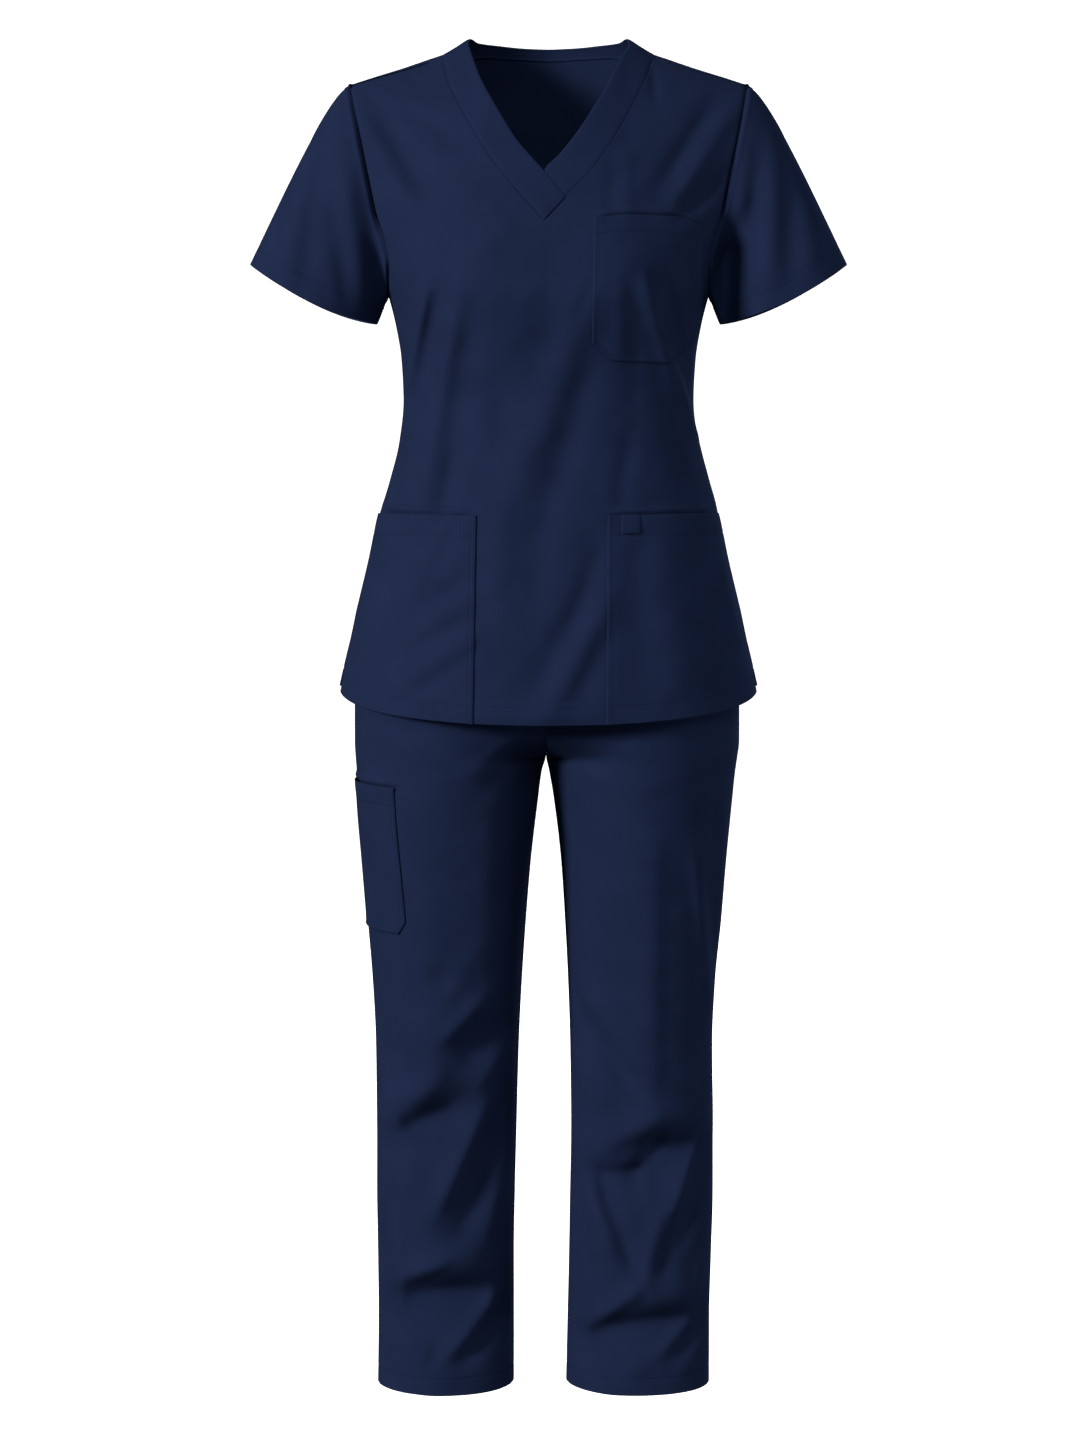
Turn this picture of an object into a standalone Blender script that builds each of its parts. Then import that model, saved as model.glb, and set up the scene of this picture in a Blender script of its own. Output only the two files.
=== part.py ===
"""A two-piece navy scrub set, V-neck top and trousers, hollow as it is worn. Units are metres."""
import math

import bpy
import numpy as np

# Driving sizes, in millimetres unless a name says otherwise
MILLIMETRE = 0.001
WALL = 1.5
BAND_WALL = 2.0
POCKET_WALL = 1.3
SEAM_GAP = 0.3
POCKET_LIFT = 0.35
HEM_DIP = 27.0
BACK_HEM_DIP = 17.0
VENT_TOP = -560.0
VENT_SPREAD = 9.0
HEM_DIP_FADE = 150.0
CENTRE_ACROSS = -1.5
SHOULDER_INNER = 104.0
SHOULDER_OUTER = 194.5
SECTION_POWER = 2.4
FRONT_SLOPE = 250.0
FRONT_SLOPE_POWER = 1.5
BACK_SLOPE = 200.0
BUST_RISE = 9.0
BUST_ACROSS = 72.0
BUST_HEIGHT = -238.0
BUST_HALF_WIDTH = 45.0
BUST_HALF_HEIGHT = 62.0
WAISTBAND_TOP = -400.0
WAISTBAND_SEAM = -437.0
WAISTBAND_DEPTH_SHARE = 0.95

# Half width of the top and its depth in front of and behind the shoulder line
TORSO = [
    ("height", "half_width", "front_depth", "back_depth"),
    (60, 228, 110, 92),
    (-20, 228, 110, 94),
    (-72, 224, 111, 96),
    (-110, 214, 112, 98),
    (-145, 199, 113, 99),
    (-179, 183, 114, 99),
    (-206, 171, 115, 98),
    (-249.3, 158, 114, 95),
    (-277, 151, 109, 90),
    (-312, 145.4, 101, 86),
    (-351, 143.6, 96, 85),
    (-391, 147.7, 98, 90),
    (-430, 157.3, 104, 100),
    (-470, 169.4, 112, 112),
    (-510, 178, 120, 121),
    (-549, 187.5, 127, 127),
    (-590, 197.5, 133, 131),
    (-635, 207, 138, 134),
    (-680, 215.5, 142, 137),
]

# Height of the shoulder ridge; inside the neck it is the line the neckbands lean on
RIDGE = [
    ("across", "height", "seam_drop"),
    (-40, 34, 7),
    (0, 60, 7),
    (40, 34, 7),
    (60, 17, 7),
    (78, 0.5, 7),
    (83, -2.7, 6.6),
    (92, -8.5, 6),
    (102.4, -14.3, 5.2),
    (119, -20, 4.6),
    (135.7, -25.8, 4),
    (154.4, -31.6, 3.2),
    (173.5, -37.4, 2.2),
    (190.7, -43.2, 1.6),
    (196.5, -45.5, 1.4),
    (230, -58, 1.2),
]

ARMHOLE = [
    ("station", "height", "across"),
    (0, -249.3, 158),
    (1, -240, 157),
    (2, -222, 156.9),
    (3, -200, 160.3),
    (4, -172, 168.5),
    (5, -140, 175),
    (6, -107, 181.8),
    (7, -77, 188),
    (8, -58, 192),
    (9, -45, 194.5),
]

# Front neckline seam, from the point of the V to the shoulder seam, on each side
FRONT_NECK = [
    ("station", "right_across", "right_height", "left_across", "left_height"),
    (3, -4.6, -181.9, -4.6, -181.9),
    (4, -23.6, -160.3, 15.4, -160.3),
    (5, -39.8, -141.4, 33.5, -142.4),
    (6, -59, -115.8, 54.7, -115),
    (7, -78.5, -82.2, 74.2, -81.9),
    (8, -96.5, -46, 92, -45.5),
    (9, -104, -20.4, 104, -20.4),
]

# Open edge of the two front neckbands, station by station with the seam above
BAND_EDGE = [
    ("station", "right_across", "right_height", "left_across", "left_height"),
    (3, 15.4, -160.3, 15.4, -160.3),
    (4, -3.6, -136.9, -3.6, -136.9),
    (5, -15, -124.2, 11.7, -118.5),
    (6, -30.8, -105.6, 27, -98.9),
    (7, -48.2, -76.8, 47.3, -67),
    (8, -68, -39.2, 66.5, -32),
    (9, -79, -7.2, 79, -7.2),
]

FRONT_CENTRE = [
    ("station", "across", "height"),
    (0, -1.5, -249.3),
    (1, -2.5, -228),
    (2, -3.6, -205),
    (3, -4.6, -181.9),
]

BACK_CENTRE = [
    ("station", "height"),
    (0, -249.3),
    (1, -215),
    (2, -175),
    (3, -127),
    (4, -72),
    (5, -13.6),
]

# Back neck seam and the open edge above it, from centre back to the shoulder
BACK_NECK = [
    ("station", "seam_across", "seam_height", "edge_across", "edge_height"),
    (5, 0, -13.6, 0, -3.4),
    (6, 30, -12.8, 28, -3),
    (7, 58, -12.4, 52, -2),
    (8, 84, -15.5, 70, -1.5),
    (9, 104, -14.9, 78.5, 0.1),
]

SIDE_HEIGHTS = (
    -635, -610, -585, -560, -535, -510, -485, -460,
    -434, -408, -382, -355, -328, -302, -276, -249.3,
)
FRONT_STATIONS = (1, 2, 3, 4, 5, 6, 7, 8)
BACK_STATIONS = (1, 2, 3, 4, 5, 6, 7, 8, 8.5)
HALF_COLUMNS = 11
LEG_COLUMNS = 9
LEG_ROW_STEPS = tuple(range(12)) + tuple(12 + 7 * step / 20 for step in range(21))

# Sleeve: where its cloth starts out at the armhole and the oval of its hem
SLEEVE_START = [
    ("fraction", "outward", "forward", "up"),
    (0, 0.45, 0, -0.9),
    (0.25, 0.62, 0.12, -0.75),
    (0.5, 0.82, 0.25, -0.45),
    (0.8, 0.93, 0.18, -0.3),
    (1, 0.95, 0, -0.31),
]
SLEEVE_RUN = (0.44, 0.0, -0.9)
SLEEVE_HEM_OUTER = (294.2, 0.0, -218.5)
SLEEVE_HEM_INNER = (169.0, 0.0, -277.0)
SLEEVE_HEM_HALF_DEPTH = 55.0
SLEEVE_HEM_DIP = 9.0
SLEEVE_ROWS = (0, 0.07, 0.15, 0.25, 0.37, 0.5, 0.62, 0.75, 0.88, 1)

# Outline of the trousers across the front, each leg by itself
LEG_OUTLINE = [
    ("height", "right_side", "right_inner", "left_inner", "left_side"),
    (-400, -147.75, -2.5, -2.5, 147.75),
    (-437, -150.5, -2.5, -2.5, 150.5),
    (-480, -160, -2.5, -2.5, 160),
    (-530, -171, -2.5, -2.5, 170),
    (-580, -182, -2.5, -2.5, 180),
    (-622, -190, -2.5, -2.5, 187),
    (-649, -193.4, -2.5, -2.5, 190.4),
    (-690, -193.6, -2.5, -2.5, 190.6),
    (-704.7, -192.9, -2.5, -2.5, 188.9),
    (-720, -191.8, -6.5, 0.5, 186.8),
    (-750, -190.9, -10.5, 5.5, 183.9),
    (-811, -186.3, -17.6, 12.6, 178.3),
    (-872, -181.6, -22.6, 16.6, 173.6),
    (-933, -176.9, -26.7, 19.7, 167.9),
    (-994, -174.2, -29.7, 21.8, 165.4),
    (-1086, -173.6, -32.3, 22.9, 166.7),
    (-1148, -173.9, -33.9, 21.9, 166.8),
    (-1211, -173.2, -35, 20.9, 165.3),
    (-1273, -172.9, -35, 19.6, 163.9),
    (-1345, -173.9, -35.1, 18, 163.9),
]

# Rows of a trouser leg: centre seam down to the crotch at row 9, then the inner leg seam
LEG_ROWS = [
    ("row", "side_height", "front_seam_depth", "front_seam_height", "back_seam_depth",
     "back_seam_height", "seam_turn", "front_depth", "back_depth", "slope", "seam_shift"),
    (0, -437, 90, -437, 86, -437, 0, 84, 80, 0.3, 0),
    (1, -480, 98, -480, 99, -480, 0, 92, 92, 0.3, 0),
    (2, -530, 106, -530, 112, -530, 0, 101, 104, 0.28, 0),
    (3, -580, 111, -580, 119, -580, 0, 107, 112, 0.25, 0),
    (4, -622, 111, -622, 119, -622, 0, 110, 115, 0.2, 0),
    (5, -652, 106, -655, 112, -652, 5, 111, 113, 0.15, 0),
    (6, -675, 90, -681, 96, -676, 18, 110, 109, 0.1, 0),
    (7, -690, 60, -696, 66, -693, 38, 109, 106, 0.05, 0),
    (8, -702, 26, -703, 36, -702, 62, 108, 104, 0, 0),
    (9, -712, -6, -704.7, 6, -704.7, 90, 107, 102, 0, 0),
    (10, -735, -6, -728, 6, -728, 90, 104, 99, 0, 0),
    (11, -775, -5, -772, 5, -772, 90, 98, 95, 0, 0.06),
    (12, -820, -4, -820, 4, -820, 90, 91, 89, 0, 0.12),
    (13, -870, -3, -870, 3, -870, 90, 84, 83, 0, 0.12),
    (14, -930, -3, -930, 3, -930, 90, 76, 77, 0, 0.12),
    (15, -1000, -3, -1000, 3, -1000, 90, 69, 70, 0, 0.12),
    (16, -1080, -3, -1080, 3, -1080, 90, 63, 66, 0, 0.12),
    (17, -1160, -3, -1160, 3, -1160, 90, 59, 63, 0, 0.12),
    (18, -1250, -3, -1250, 3, -1250, 90, 56.5, 61, 0, 0.12),
    (19, -1345, -3, -1345, 3, -1345, 90, 55, 59, 0, 0.12),
]
LEG_SIDE_SEAM = 1.88

# Largest folds, each a soft ridge or trough along a line; a trough has a negative rise
FOLD_COLUMNS = ("from_across", "from_height", "to_across", "to_height", "half_width", "rise")
FRONT_FOLDS = [
    (-188, -72, -126, -150, 12, -4),
    (-145, -68, -90, -97, 10, -2.5),
    (-123, -247, -130, -313, 11, 3.5),
    (-114, -285, -136, -367, 12, -4),
    (-92, -327, -106, -458, 13, -3.5),
    (29, -286, -73, -456, 17, 4.5),
    (37, -295, -31, -460, 13, -4.5),
    (76, -321, 68, -461, 13, -3.5),
    (112, -315, 151, -460, 11, 4),
    (51, -499, -39, -607, 15, -4),
    (54, -545, -6, -640, 12, 3.5),
    (54, -567, 16, -638, 10, -3),
]
BACK_FOLDS = [
    (-140, -205, -78, -128, 14, -4),
    (128, -222, 72, -138, 13, -4),
    (-52, -300, -122, -420, 17, 4.5),
    (-20, -318, -84, -440, 13, -4),
    (42, -292, 98, -405, 15, -4.5),
    (88, -300, 130, -380, 12, 3.5),
    (4, -420, 62, -560, 17, 4),
    (-72, -500, -22, -622, 15, -4),
]
RIGHT_SLEEVE_FRONT_FOLDS = [(-206, -118, -181, -244, 13, -5)]
RIGHT_SLEEVE_BACK_FOLDS = [(-202, -112, -214, -232, 13, -4.5)]
LEFT_SLEEVE_FRONT_FOLDS = [(204, -102, 174, -205, 12, -5), (206, -128, 200, -227, 10, 3.5)]
LEFT_SLEEVE_BACK_FOLDS = [(212, -118, 192, -238, 13, -4.5)]
LEG_FRONT_FOLDS = [
    (-30, -690, -62, -714, 11, -3),
    (-65, -943, -101, -981, 12, -3.5),
    (-106, -1023, -141, -1074, 13, -4),
    (-141, -1074, -88, -1048, 11, -3.5),
    (-71, -1061, -107, -1155, 13, -4),
    (-102, -1192, -145, -1241, 12, -3.5),
    (-142, -1234, -63, -1229, 12, -4),
    (-55, -1249, -91, -1299, 12, 3.5),
    (25, -689, 55, -709, 11, -3),
    (161, -790, 162, -931, 11, -4),
    (35, -994, 74, -1029, 12, -4),
    (51, -1111, 141, -1080, 13, -4.5),
    (49, -1126, 88, -1217, 13, -3.5),
    (127, -1142, 99, -1217, 12, -3.5),
    (44, -1282, 134, -1261, 13, -4),
    (154, -1275, 114, -1302, 12, -4),
]
LEG_BACK_FOLDS = [
    (-40, -742, -142, -716, 16, -4),
    (-58, -930, -132, -962, 13, -4),
    (-142, -1004, -78, -1044, 13, -4.5),
    (-62, -1118, -122, -1172, 13, -3.5),
    (-128, -1228, -62, -1266, 13, -4),
    (38, -738, 138, -720, 16, -4),
    (46, -942, 128, -918, 13, -4),
    (132, -992, 66, -1038, 13, -4.5),
    (44, -1098, 112, -1148, 13, -3.5),
    (136, -1212, 58, -1236, 13, -4),
]

# Outlines of what is sewn on: across and height on the top, turn and height on the leg
CHEST_POCKET = [(43, -181), (118, -178), (152, -186), (152, -285), (116, -317), (58, -315), (41, -297)]
LOWER_POCKET_RIGHT = [(-230, -463), (-69.5, -465), (-73, -700), (-230, -700)]
LOWER_POCKET_LEFT = [(56.5, -464.5), (230, -462), (230, -700), (55, -700)]
POCKET_LOOP = [(69.3, -463.6), (86.7, -463.6), (86.7, -481), (69.3, -481)]
CARGO_POCKET = [(1.37, -728), (2.63, -728), (2.72, -862), (2.66, -874), (1.38, -874), (1.31, -862)]

NAVY = (0.0146, 0.0212, 0.0497, 1.0)
NAVY_BAND = (0.0132, 0.0192, 0.0452, 1.0)


def follow(table, at, name):
    """Smooth value of a named column of a table at the given values of its first column."""
    names = table[0]
    rows = np.array(table[1:], dtype=float)
    rows = rows[np.argsort(rows[:, 0])]
    key = rows[:, 0]
    value = rows[:, names.index(name)]
    step = np.diff(key)
    rate = np.diff(value) / step
    slope = np.zeros_like(value)
    slope[0] = rate[0]
    slope[-1] = rate[-1]
    for index in range(1, len(key) - 1):
        if rate[index - 1] * rate[index] > 0:
            ahead = 2 * step[index] + step[index - 1]
            behind = step[index] + 2 * step[index - 1]
            slope[index] = (ahead + behind) / (ahead / rate[index - 1] + behind / rate[index])
    at = np.clip(np.asarray(at, dtype=float), key[0], key[-1])
    cell = np.clip(np.searchsorted(key, at) - 1, 0, len(key) - 2)
    part = (at - key[cell]) / step[cell]
    start = (1 + 2 * part) * (1 - part) ** 2 * value[cell]
    start_slope = part * (1 - part) ** 2 * step[cell] * slope[cell]
    end = part ** 2 * (3 - 2 * part) * value[cell + 1]
    end_slope = part ** 2 * (part - 1) * step[cell] * slope[cell + 1]
    return start + start_slope + end + end_slope


def fold_rise(folds, across, height):
    """How far a set of folds lifts the cloth at given places, negative in a trough."""
    rise = np.zeros(np.broadcast(across, height).shape)
    for fold in folds:
        value = dict(zip(FOLD_COLUMNS, fold))
        run_across = value["to_across"] - value["from_across"]
        run_height = value["to_height"] - value["from_height"]
        run = np.array([run_across, run_height])
        off_across = across - value["from_across"]
        off_height = height - value["from_height"]
        along = np.clip((off_across * run[0] + off_height * run[1]) / np.dot(run, run), 0, 1)
        away = np.hypot(off_across - along * run[0], off_height - along * run[1])
        strength = np.sin(math.pi * (0.12 + 0.76 * along))
        rise = rise + value["rise"] * strength * np.exp(-(away / value["half_width"]) ** 2)
    return rise


def section_share(across, height):
    """How much of the full depth the top's section has at a distance across."""
    ratio = np.clip(np.abs(across) / follow(TORSO, height, "half_width"), 0, 1)
    return np.sqrt(1 - ratio ** SECTION_POWER)


def front_y(across, height):
    """Front surface of the top."""
    ridge = follow(RIDGE, np.abs(across), "height")
    fallen = np.clip((ridge - height) / (FRONT_SLOPE + ridge), 0, 1)
    shoulder = (1 - (1 - fallen) ** FRONT_SLOPE_POWER) ** (1 / FRONT_SLOPE_POWER)
    bust_across = (np.abs(across) - BUST_ACROSS) / BUST_HALF_WIDTH
    bust = np.exp(-bust_across ** 2 - ((height - BUST_HEIGHT) / BUST_HALF_HEIGHT) ** 2)
    depth = follow(TORSO, height, "front_depth") * shoulder + BUST_RISE * bust
    depth = depth + fold_rise(FRONT_FOLDS, across, height)
    return -depth * section_share(across, height)


def back_y(across, height):
    """Back surface of the top."""
    ridge = follow(RIDGE, np.abs(across), "height")
    fallen = np.clip((ridge - height) / (BACK_SLOPE + ridge), 0, 1)
    shoulder = (1 - (1 - fallen) ** 2) ** (1 / 1.6)
    depth = follow(TORSO, height, "back_depth") * shoulder + fold_rise(BACK_FOLDS, across, height)
    return depth * section_share(across, height)


def lay(across, height, surface):
    """Points on a surface of the top."""
    across = np.asarray(across, dtype=float)
    height = np.asarray(height, dtype=float)
    return np.stack([across, surface(across, height), height], axis=-1)


def side_rows(side_heights, dip, surface, side, columns):
    """Half of a panel from the hem to the armpit, from the centre to the side seam."""
    share = np.linspace(0, 1, columns + 1)
    rows = []
    for side_height in side_heights:
        drop = dip * max(0, 1 - (side_height - SIDE_HEIGHTS[0]) / HEM_DIP_FADE) ** 2
        height = side_height - drop * (1 - share ** 2)
        half_width = float(follow(TORSO, side_height, "half_width"))
        spread = np.sin(share * math.pi / 2)
        across = CENTRE_ACROSS + (side * half_width - CENTRE_ACROSS) * spread
        rows.append(lay(across, height, surface))
    return rows


def chest_rows(inner, stations, surface, side, columns):
    """Half of a panel from the armpit to the shoulder, from the neckline to the armhole."""
    share = np.linspace(0, 1, columns + 1)
    rows = []
    for (inner_across, inner_height), station in zip(inner, stations):
        roundness = max(0.0, 1 - station / 4)
        spread = (1 - roundness) * share + roundness * np.sin(share * math.pi / 2)
        outer_across = side * float(follow(ARMHOLE, station, "across"))
        outer_height = float(follow(ARMHOLE, station, "height"))
        across = inner_across + (outer_across - inner_across) * spread
        height = inner_height + (outer_height - inner_height) * share
        rows.append(lay(across, height, surface))
    return rows


def shoulder_points(side, columns, in_front):
    """Points along the shoulder: the ridge itself, or the seam a little in front of it."""
    across = np.linspace(SHOULDER_INNER, SHOULDER_OUTER, columns + 1)
    height = follow(RIDGE, across, "height")
    if in_front:
        height = height - follow(RIDGE, across, "seam_drop")
        return lay(side * across, height, front_y)
    depth = np.zeros_like(across)
    return np.stack([side * across, depth, height], axis=-1)


def front_half(side, columns):
    """Grid of one half of the front panel; side is -1 for the wearer's right."""
    name = "right" if side < 0 else "left"
    rows = side_rows(SIDE_HEIGHTS, HEM_DIP, front_y, side, columns)
    inner = []
    for station in FRONT_STATIONS:
        if station < 3:
            table, across_name, height_name = FRONT_CENTRE, "across", "height"
        else:
            table, across_name, height_name = FRONT_NECK, name + "_across", name + "_height"
        across = float(follow(table, station, across_name))
        inner.append((across, float(follow(table, station, height_name))))
    rows += chest_rows(inner, FRONT_STATIONS, front_y, side, columns)
    rows.append(shoulder_points(side, columns, True))
    return np.array(rows)


def back_half(side, columns):
    """Grid of one half of the back panel, carried over the ridge to the shoulder seam."""
    rows = side_rows(SIDE_HEIGHTS, BACK_HEM_DIP, back_y, side, columns)
    inner = []
    for station in BACK_STATIONS:
        if station < 5:
            across = CENTRE_ACROSS * (1 - station / 5)
            inner.append((across, float(follow(BACK_CENTRE, station, "height"))))
        else:
            across = side * float(follow(BACK_NECK, station, "seam_across"))
            inner.append((across, float(follow(BACK_NECK, station, "seam_height"))))
    rows += chest_rows(inner, BACK_STATIONS, back_y, side, columns)
    rows.append(shoulder_points(side, columns, False))
    rows.append(shoulder_points(side, columns, True))
    grid = np.array(rows)
    for row, side_height in enumerate(SIDE_HEIGHTS):
        opened = max(0.0, (VENT_TOP - side_height) / (VENT_TOP - SIDE_HEIGHTS[0]))
        if opened > 0:
            near_side = np.linspace(0, 1, columns + 1) ** 6
            grid[row, :, 0] += side * 0.3 * VENT_SPREAD * opened * near_side
            grid[row, :, 1] += VENT_SPREAD * opened * near_side
    return grid


def band_grid(side, columns):
    """Front neckband of one side, from the shoulder seam down to its end at the V."""
    name = "right" if side < 0 else "left"
    first = 3 if side < 0 else 4
    share = np.linspace(0, 1, columns + 1)
    rows = []
    for station in range(first, 10):
        seam_across = float(follow(FRONT_NECK, station, name + "_across"))
        seam_height = float(follow(FRONT_NECK, station, name + "_height"))
        edge_across = float(follow(BAND_EDGE, station, name + "_across"))
        edge_height = float(follow(BAND_EDGE, station, name + "_height"))
        if station == 9:
            seam_height = float(shoulder_points(side, 1, True)[0, 2])
        across = seam_across + (edge_across - seam_across) * share
        height = seam_height + (edge_height - seam_height) * share
        rows.append(lay(across, height, front_y))
    return np.array(rows)


def back_band_grid(columns):
    """Back neckband from one shoulder seam round the back of the neck to the other."""
    halves = []
    share = np.linspace(0, 1, columns + 1)
    for side in (-1, 1):
        rows = [band_grid(side, columns)[-1]]
        for station in (9,) + BACK_STATIONS[:3:-1]:
            seam_across = side * float(follow(BACK_NECK, station, "seam_across"))
            edge_across = side * float(follow(BACK_NECK, station, "edge_across"))
            seam_height = float(follow(BACK_NECK, station, "seam_height"))
            edge_height = float(follow(BACK_NECK, station, "edge_height"))
            across = seam_across + (edge_across - seam_across) * share
            height = seam_height + (edge_height - seam_height) * share
            if station == 9:
                height = follow(RIDGE, np.abs(across), "height")
                rows.append(np.stack([across, np.zeros_like(across), height], axis=-1))
            else:
                rows.append(lay(across, height, back_y))
        halves.append(rows)
    return np.array(halves[0] + halves[1][-2::-1])


def sleeve_grid(side, columns):
    """Sleeve tube: from the armhole ring, which is the panels' own edge, to the hem oval."""
    front_edge = front_half(side, columns)[len(SIDE_HEIGHTS) - 1:, -1]
    back_edge = back_half(side, columns)[len(SIDE_HEIGHTS) - 1:-1, -1]
    ring = np.concatenate([front_edge, back_edge[:0:-1]])
    top = len(front_edge) - 1
    lengths = np.linalg.norm(np.diff(np.vstack([ring, ring[:1]]), axis=0), axis=1)
    travelled = np.concatenate([[0], np.cumsum(lengths)])
    fraction = travelled[:-1] / travelled[top]
    behind = np.arange(len(ring)) > top
    rest = (travelled[-1] - travelled[:-1]) / (travelled[-1] - travelled[top])
    fraction = np.where(behind, rest, fraction)
    facing = np.where(behind, 1.0, -1.0)
    outer = np.array(SLEEVE_HEM_OUTER)
    inner = np.array(SLEEVE_HEM_INNER)
    middle = (outer + inner) / 2
    turn = math.pi * (1 - fraction)
    hem = middle + np.outer(np.cos(turn), outer - middle)
    hem[:, 1] += facing * SLEEVE_HEM_HALF_DEPTH * np.sin(turn)
    hem[:, 2] -= SLEEVE_HEM_DIP * np.sin(turn) ** 2
    hem[:, 0] *= side
    start = np.stack([
        side * follow(SLEEVE_START, fraction, "outward"),
        facing * follow(SLEEVE_START, fraction, "forward"),
        follow(SLEEVE_START, fraction, "up"),
    ], axis=1)
    run = np.array(SLEEVE_RUN) * (side, 1, 1)
    length = np.linalg.norm(hem - ring, axis=1)[:, None]
    front_folds = RIGHT_SLEEVE_FRONT_FOLDS if side < 0 else LEFT_SLEEVE_FRONT_FOLDS
    back_folds = RIGHT_SLEEVE_BACK_FOLDS if side < 0 else LEFT_SLEEVE_BACK_FOLDS
    rows = []
    for part in SLEEVE_ROWS:
        from_ring = (1 + 2 * part) * (1 - part) ** 2 * ring
        leaving = part * (1 - part) ** 2 * 0.33 * length * start
        to_hem = part ** 2 * (3 - 2 * part) * hem
        arriving = part ** 2 * (part - 1) * length * run
        row = from_ring + leaving + to_hem + arriving
        front_rise = fold_rise(front_folds, row[:, 0], row[:, 2])
        back_rise = fold_rise(back_folds, row[:, 0], row[:, 2])
        rise = np.where(behind, back_rise, front_rise)
        row[:, 1] += facing * rise * np.sin(turn) * min(1.0, 3 * part)
        rows.append(row)
    grid = np.array(rows)
    return np.concatenate([grid, grid[:, :1]], axis=1)


def curve_between(start, leaving, end, arriving, part):
    """Point on a smooth plan curve between two points with given directions."""
    span = end - start
    bend = float(np.dot(leaving, arriving))
    reach = 1 / 3 + 0.219 * (1 - max(0.0, bend))
    first = start + leaving * reach * np.dot(span, leaving)
    last = end - arriving * reach * np.dot(span, arriving)
    rest = 1 - part
    point = rest ** 3 * start + 3 * rest ** 2 * part * first
    return point + 3 * rest * part ** 2 * last + part ** 3 * end


def leg_point(side, row, turn):
    """Point of a leg: turn 0 at the inner seam in front, 1 front, 2 side, 3 back, 4 inner."""
    name = "right" if side < 0 else "left"
    value = {}
    for column in LEG_ROWS[0][1:]:
        value[column] = float(follow(LEG_ROWS, row, column))
    if row >= 9:
        turn = turn % 4
    outer = float(follow(LEG_OUTLINE, value["side_height"], name + "_side"))
    front_inner = float(follow(LEG_OUTLINE, value["front_seam_height"], name + "_inner"))
    back_inner = float(follow(LEG_OUTLINE, value["back_seam_height"], name + "_inner"))
    middle = (outer + float(follow(LEG_OUTLINE, value["side_height"], name + "_inner"))) / 2
    angle = math.radians(value["seam_turn"])
    tilt = math.hypot(1, value["slope"])
    keys = [
        np.array([front_inner, -value["front_seam_depth"]]),
        np.array([middle, -value["front_depth"]]),
        np.array([outer, 0.0]),
        np.array([middle, value["back_depth"]]),
        np.array([back_inner, value["back_seam_depth"]]),
    ]
    ways = [
        np.array([side * math.cos(angle), -math.sin(angle)]),
        np.array([side / tilt, value["slope"] / tilt]),
        np.array([0.0, 1.0]),
        np.array([-side / tilt, value["slope"] / tilt]),
        np.array([-side * math.cos(angle), -math.sin(angle)]),
    ]
    part = min(3, int(turn))
    plan = curve_between(keys[part], ways[part], keys[part + 1], ways[part + 1], turn - part)
    near = min(1.0, turn, 4 - turn)
    weight = (1 - near) ** 2 * (1 + 2 * near)
    seam_height = value["front_seam_height"] if turn < 2 else value["back_seam_height"]
    height = value["side_height"] + (seam_height - value["side_height"]) * weight
    folds = LEG_FRONT_FOLDS if turn < 2 else LEG_BACK_FOLDS
    facing = math.sin(math.pi * turn / 2)
    depth = plan[1] - facing * float(fold_rise(folds, plan[0], height))
    return np.array([plan[0], depth, height])


def leg_grid(side, rows, front, columns):
    """Front or back panel of a trouser leg."""
    grid = []
    for row in rows:
        shift = float(follow(LEG_ROWS, row, "seam_shift"))
        if front:
            turns = np.linspace(shift, LEG_SIDE_SEAM, columns + 1)
        else:
            turns = np.linspace(LEG_SIDE_SEAM, 4 + shift, columns + 1)
        grid.append([leg_point(side, row, turn) for turn in turns])
    return np.array(grid)


def key_of(point):
    """Rounded position, the same for points of two pieces that share a seam."""
    return tuple(int(round(value * 2000)) for value in point)


def join_grids(grids, centre_line):
    """Triangles of one or more grids, with shared points joined and the outside outward."""
    points = []
    triangles = []
    index_of = {}
    for grid in grids:
        numbers = np.zeros(grid.shape[:2], dtype=int)
        for row in range(grid.shape[0]):
            for column in range(grid.shape[1]):
                key = key_of(grid[row, column])
                if key not in index_of:
                    index_of[key] = len(points)
                    points.append(grid[row, column])
                numbers[row, column] = index_of[key]
        faces = []
        for row in range(grid.shape[0] - 1):
            for column in range(grid.shape[1] - 1):
                corner = [numbers[row, column], numbers[row, column + 1]]
                corner += [numbers[row + 1, column + 1], numbers[row + 1, column]]
                faces.append((corner[0], corner[1], corner[2]))
                faces.append((corner[0], corner[2], corner[3]))
        faces = [face for face in faces if len(set(face)) == 3]
        outward = 0.0
        for face in faces:
            first, second, third = (points[number] for number in face)
            middle = (first + second + third) / 3
            outward += float(np.dot(np.cross(second - first, third - first), middle - centre_line(middle)))
        if outward < 0:
            faces = [face[::-1] for face in faces]
        triangles += faces
    return np.array(points), triangles


def own_normals(points, triangles):
    """Area-weighted normal of each point, not yet of unit length."""
    normals = np.zeros_like(points)
    for face in triangles:
        first, second, third = (points[number] for number in face)
        area = np.cross(second - first, third - first)
        for number in face:
            normals[number] += area
    return normals


def unit(vectors):
    """Vectors brought to length one."""
    return vectors / np.maximum(np.linalg.norm(vectors, axis=-1, keepdims=True), 1e-12)


def shared_normals(sheets):
    """Normals of a family of sheets, averaged where the sheets meet at a seam."""
    total = {}
    own = {}
    for name, (points, triangles) in sheets.items():
        own[name] = own_normals(points, triangles)
        for point, normal in zip(points, own[name]):
            key = key_of(point)
            total[key] = total.get(key, 0) + normal
    result = {}
    for name, (points, triangles) in sheets.items():
        alone = unit(own[name])
        together = unit(np.array([total[key_of(point)] for point in points]))
        agree = np.sum(alone * together, axis=1, keepdims=True) > 0.2
        result[name] = np.where(agree, together, alone)
    return result


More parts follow.
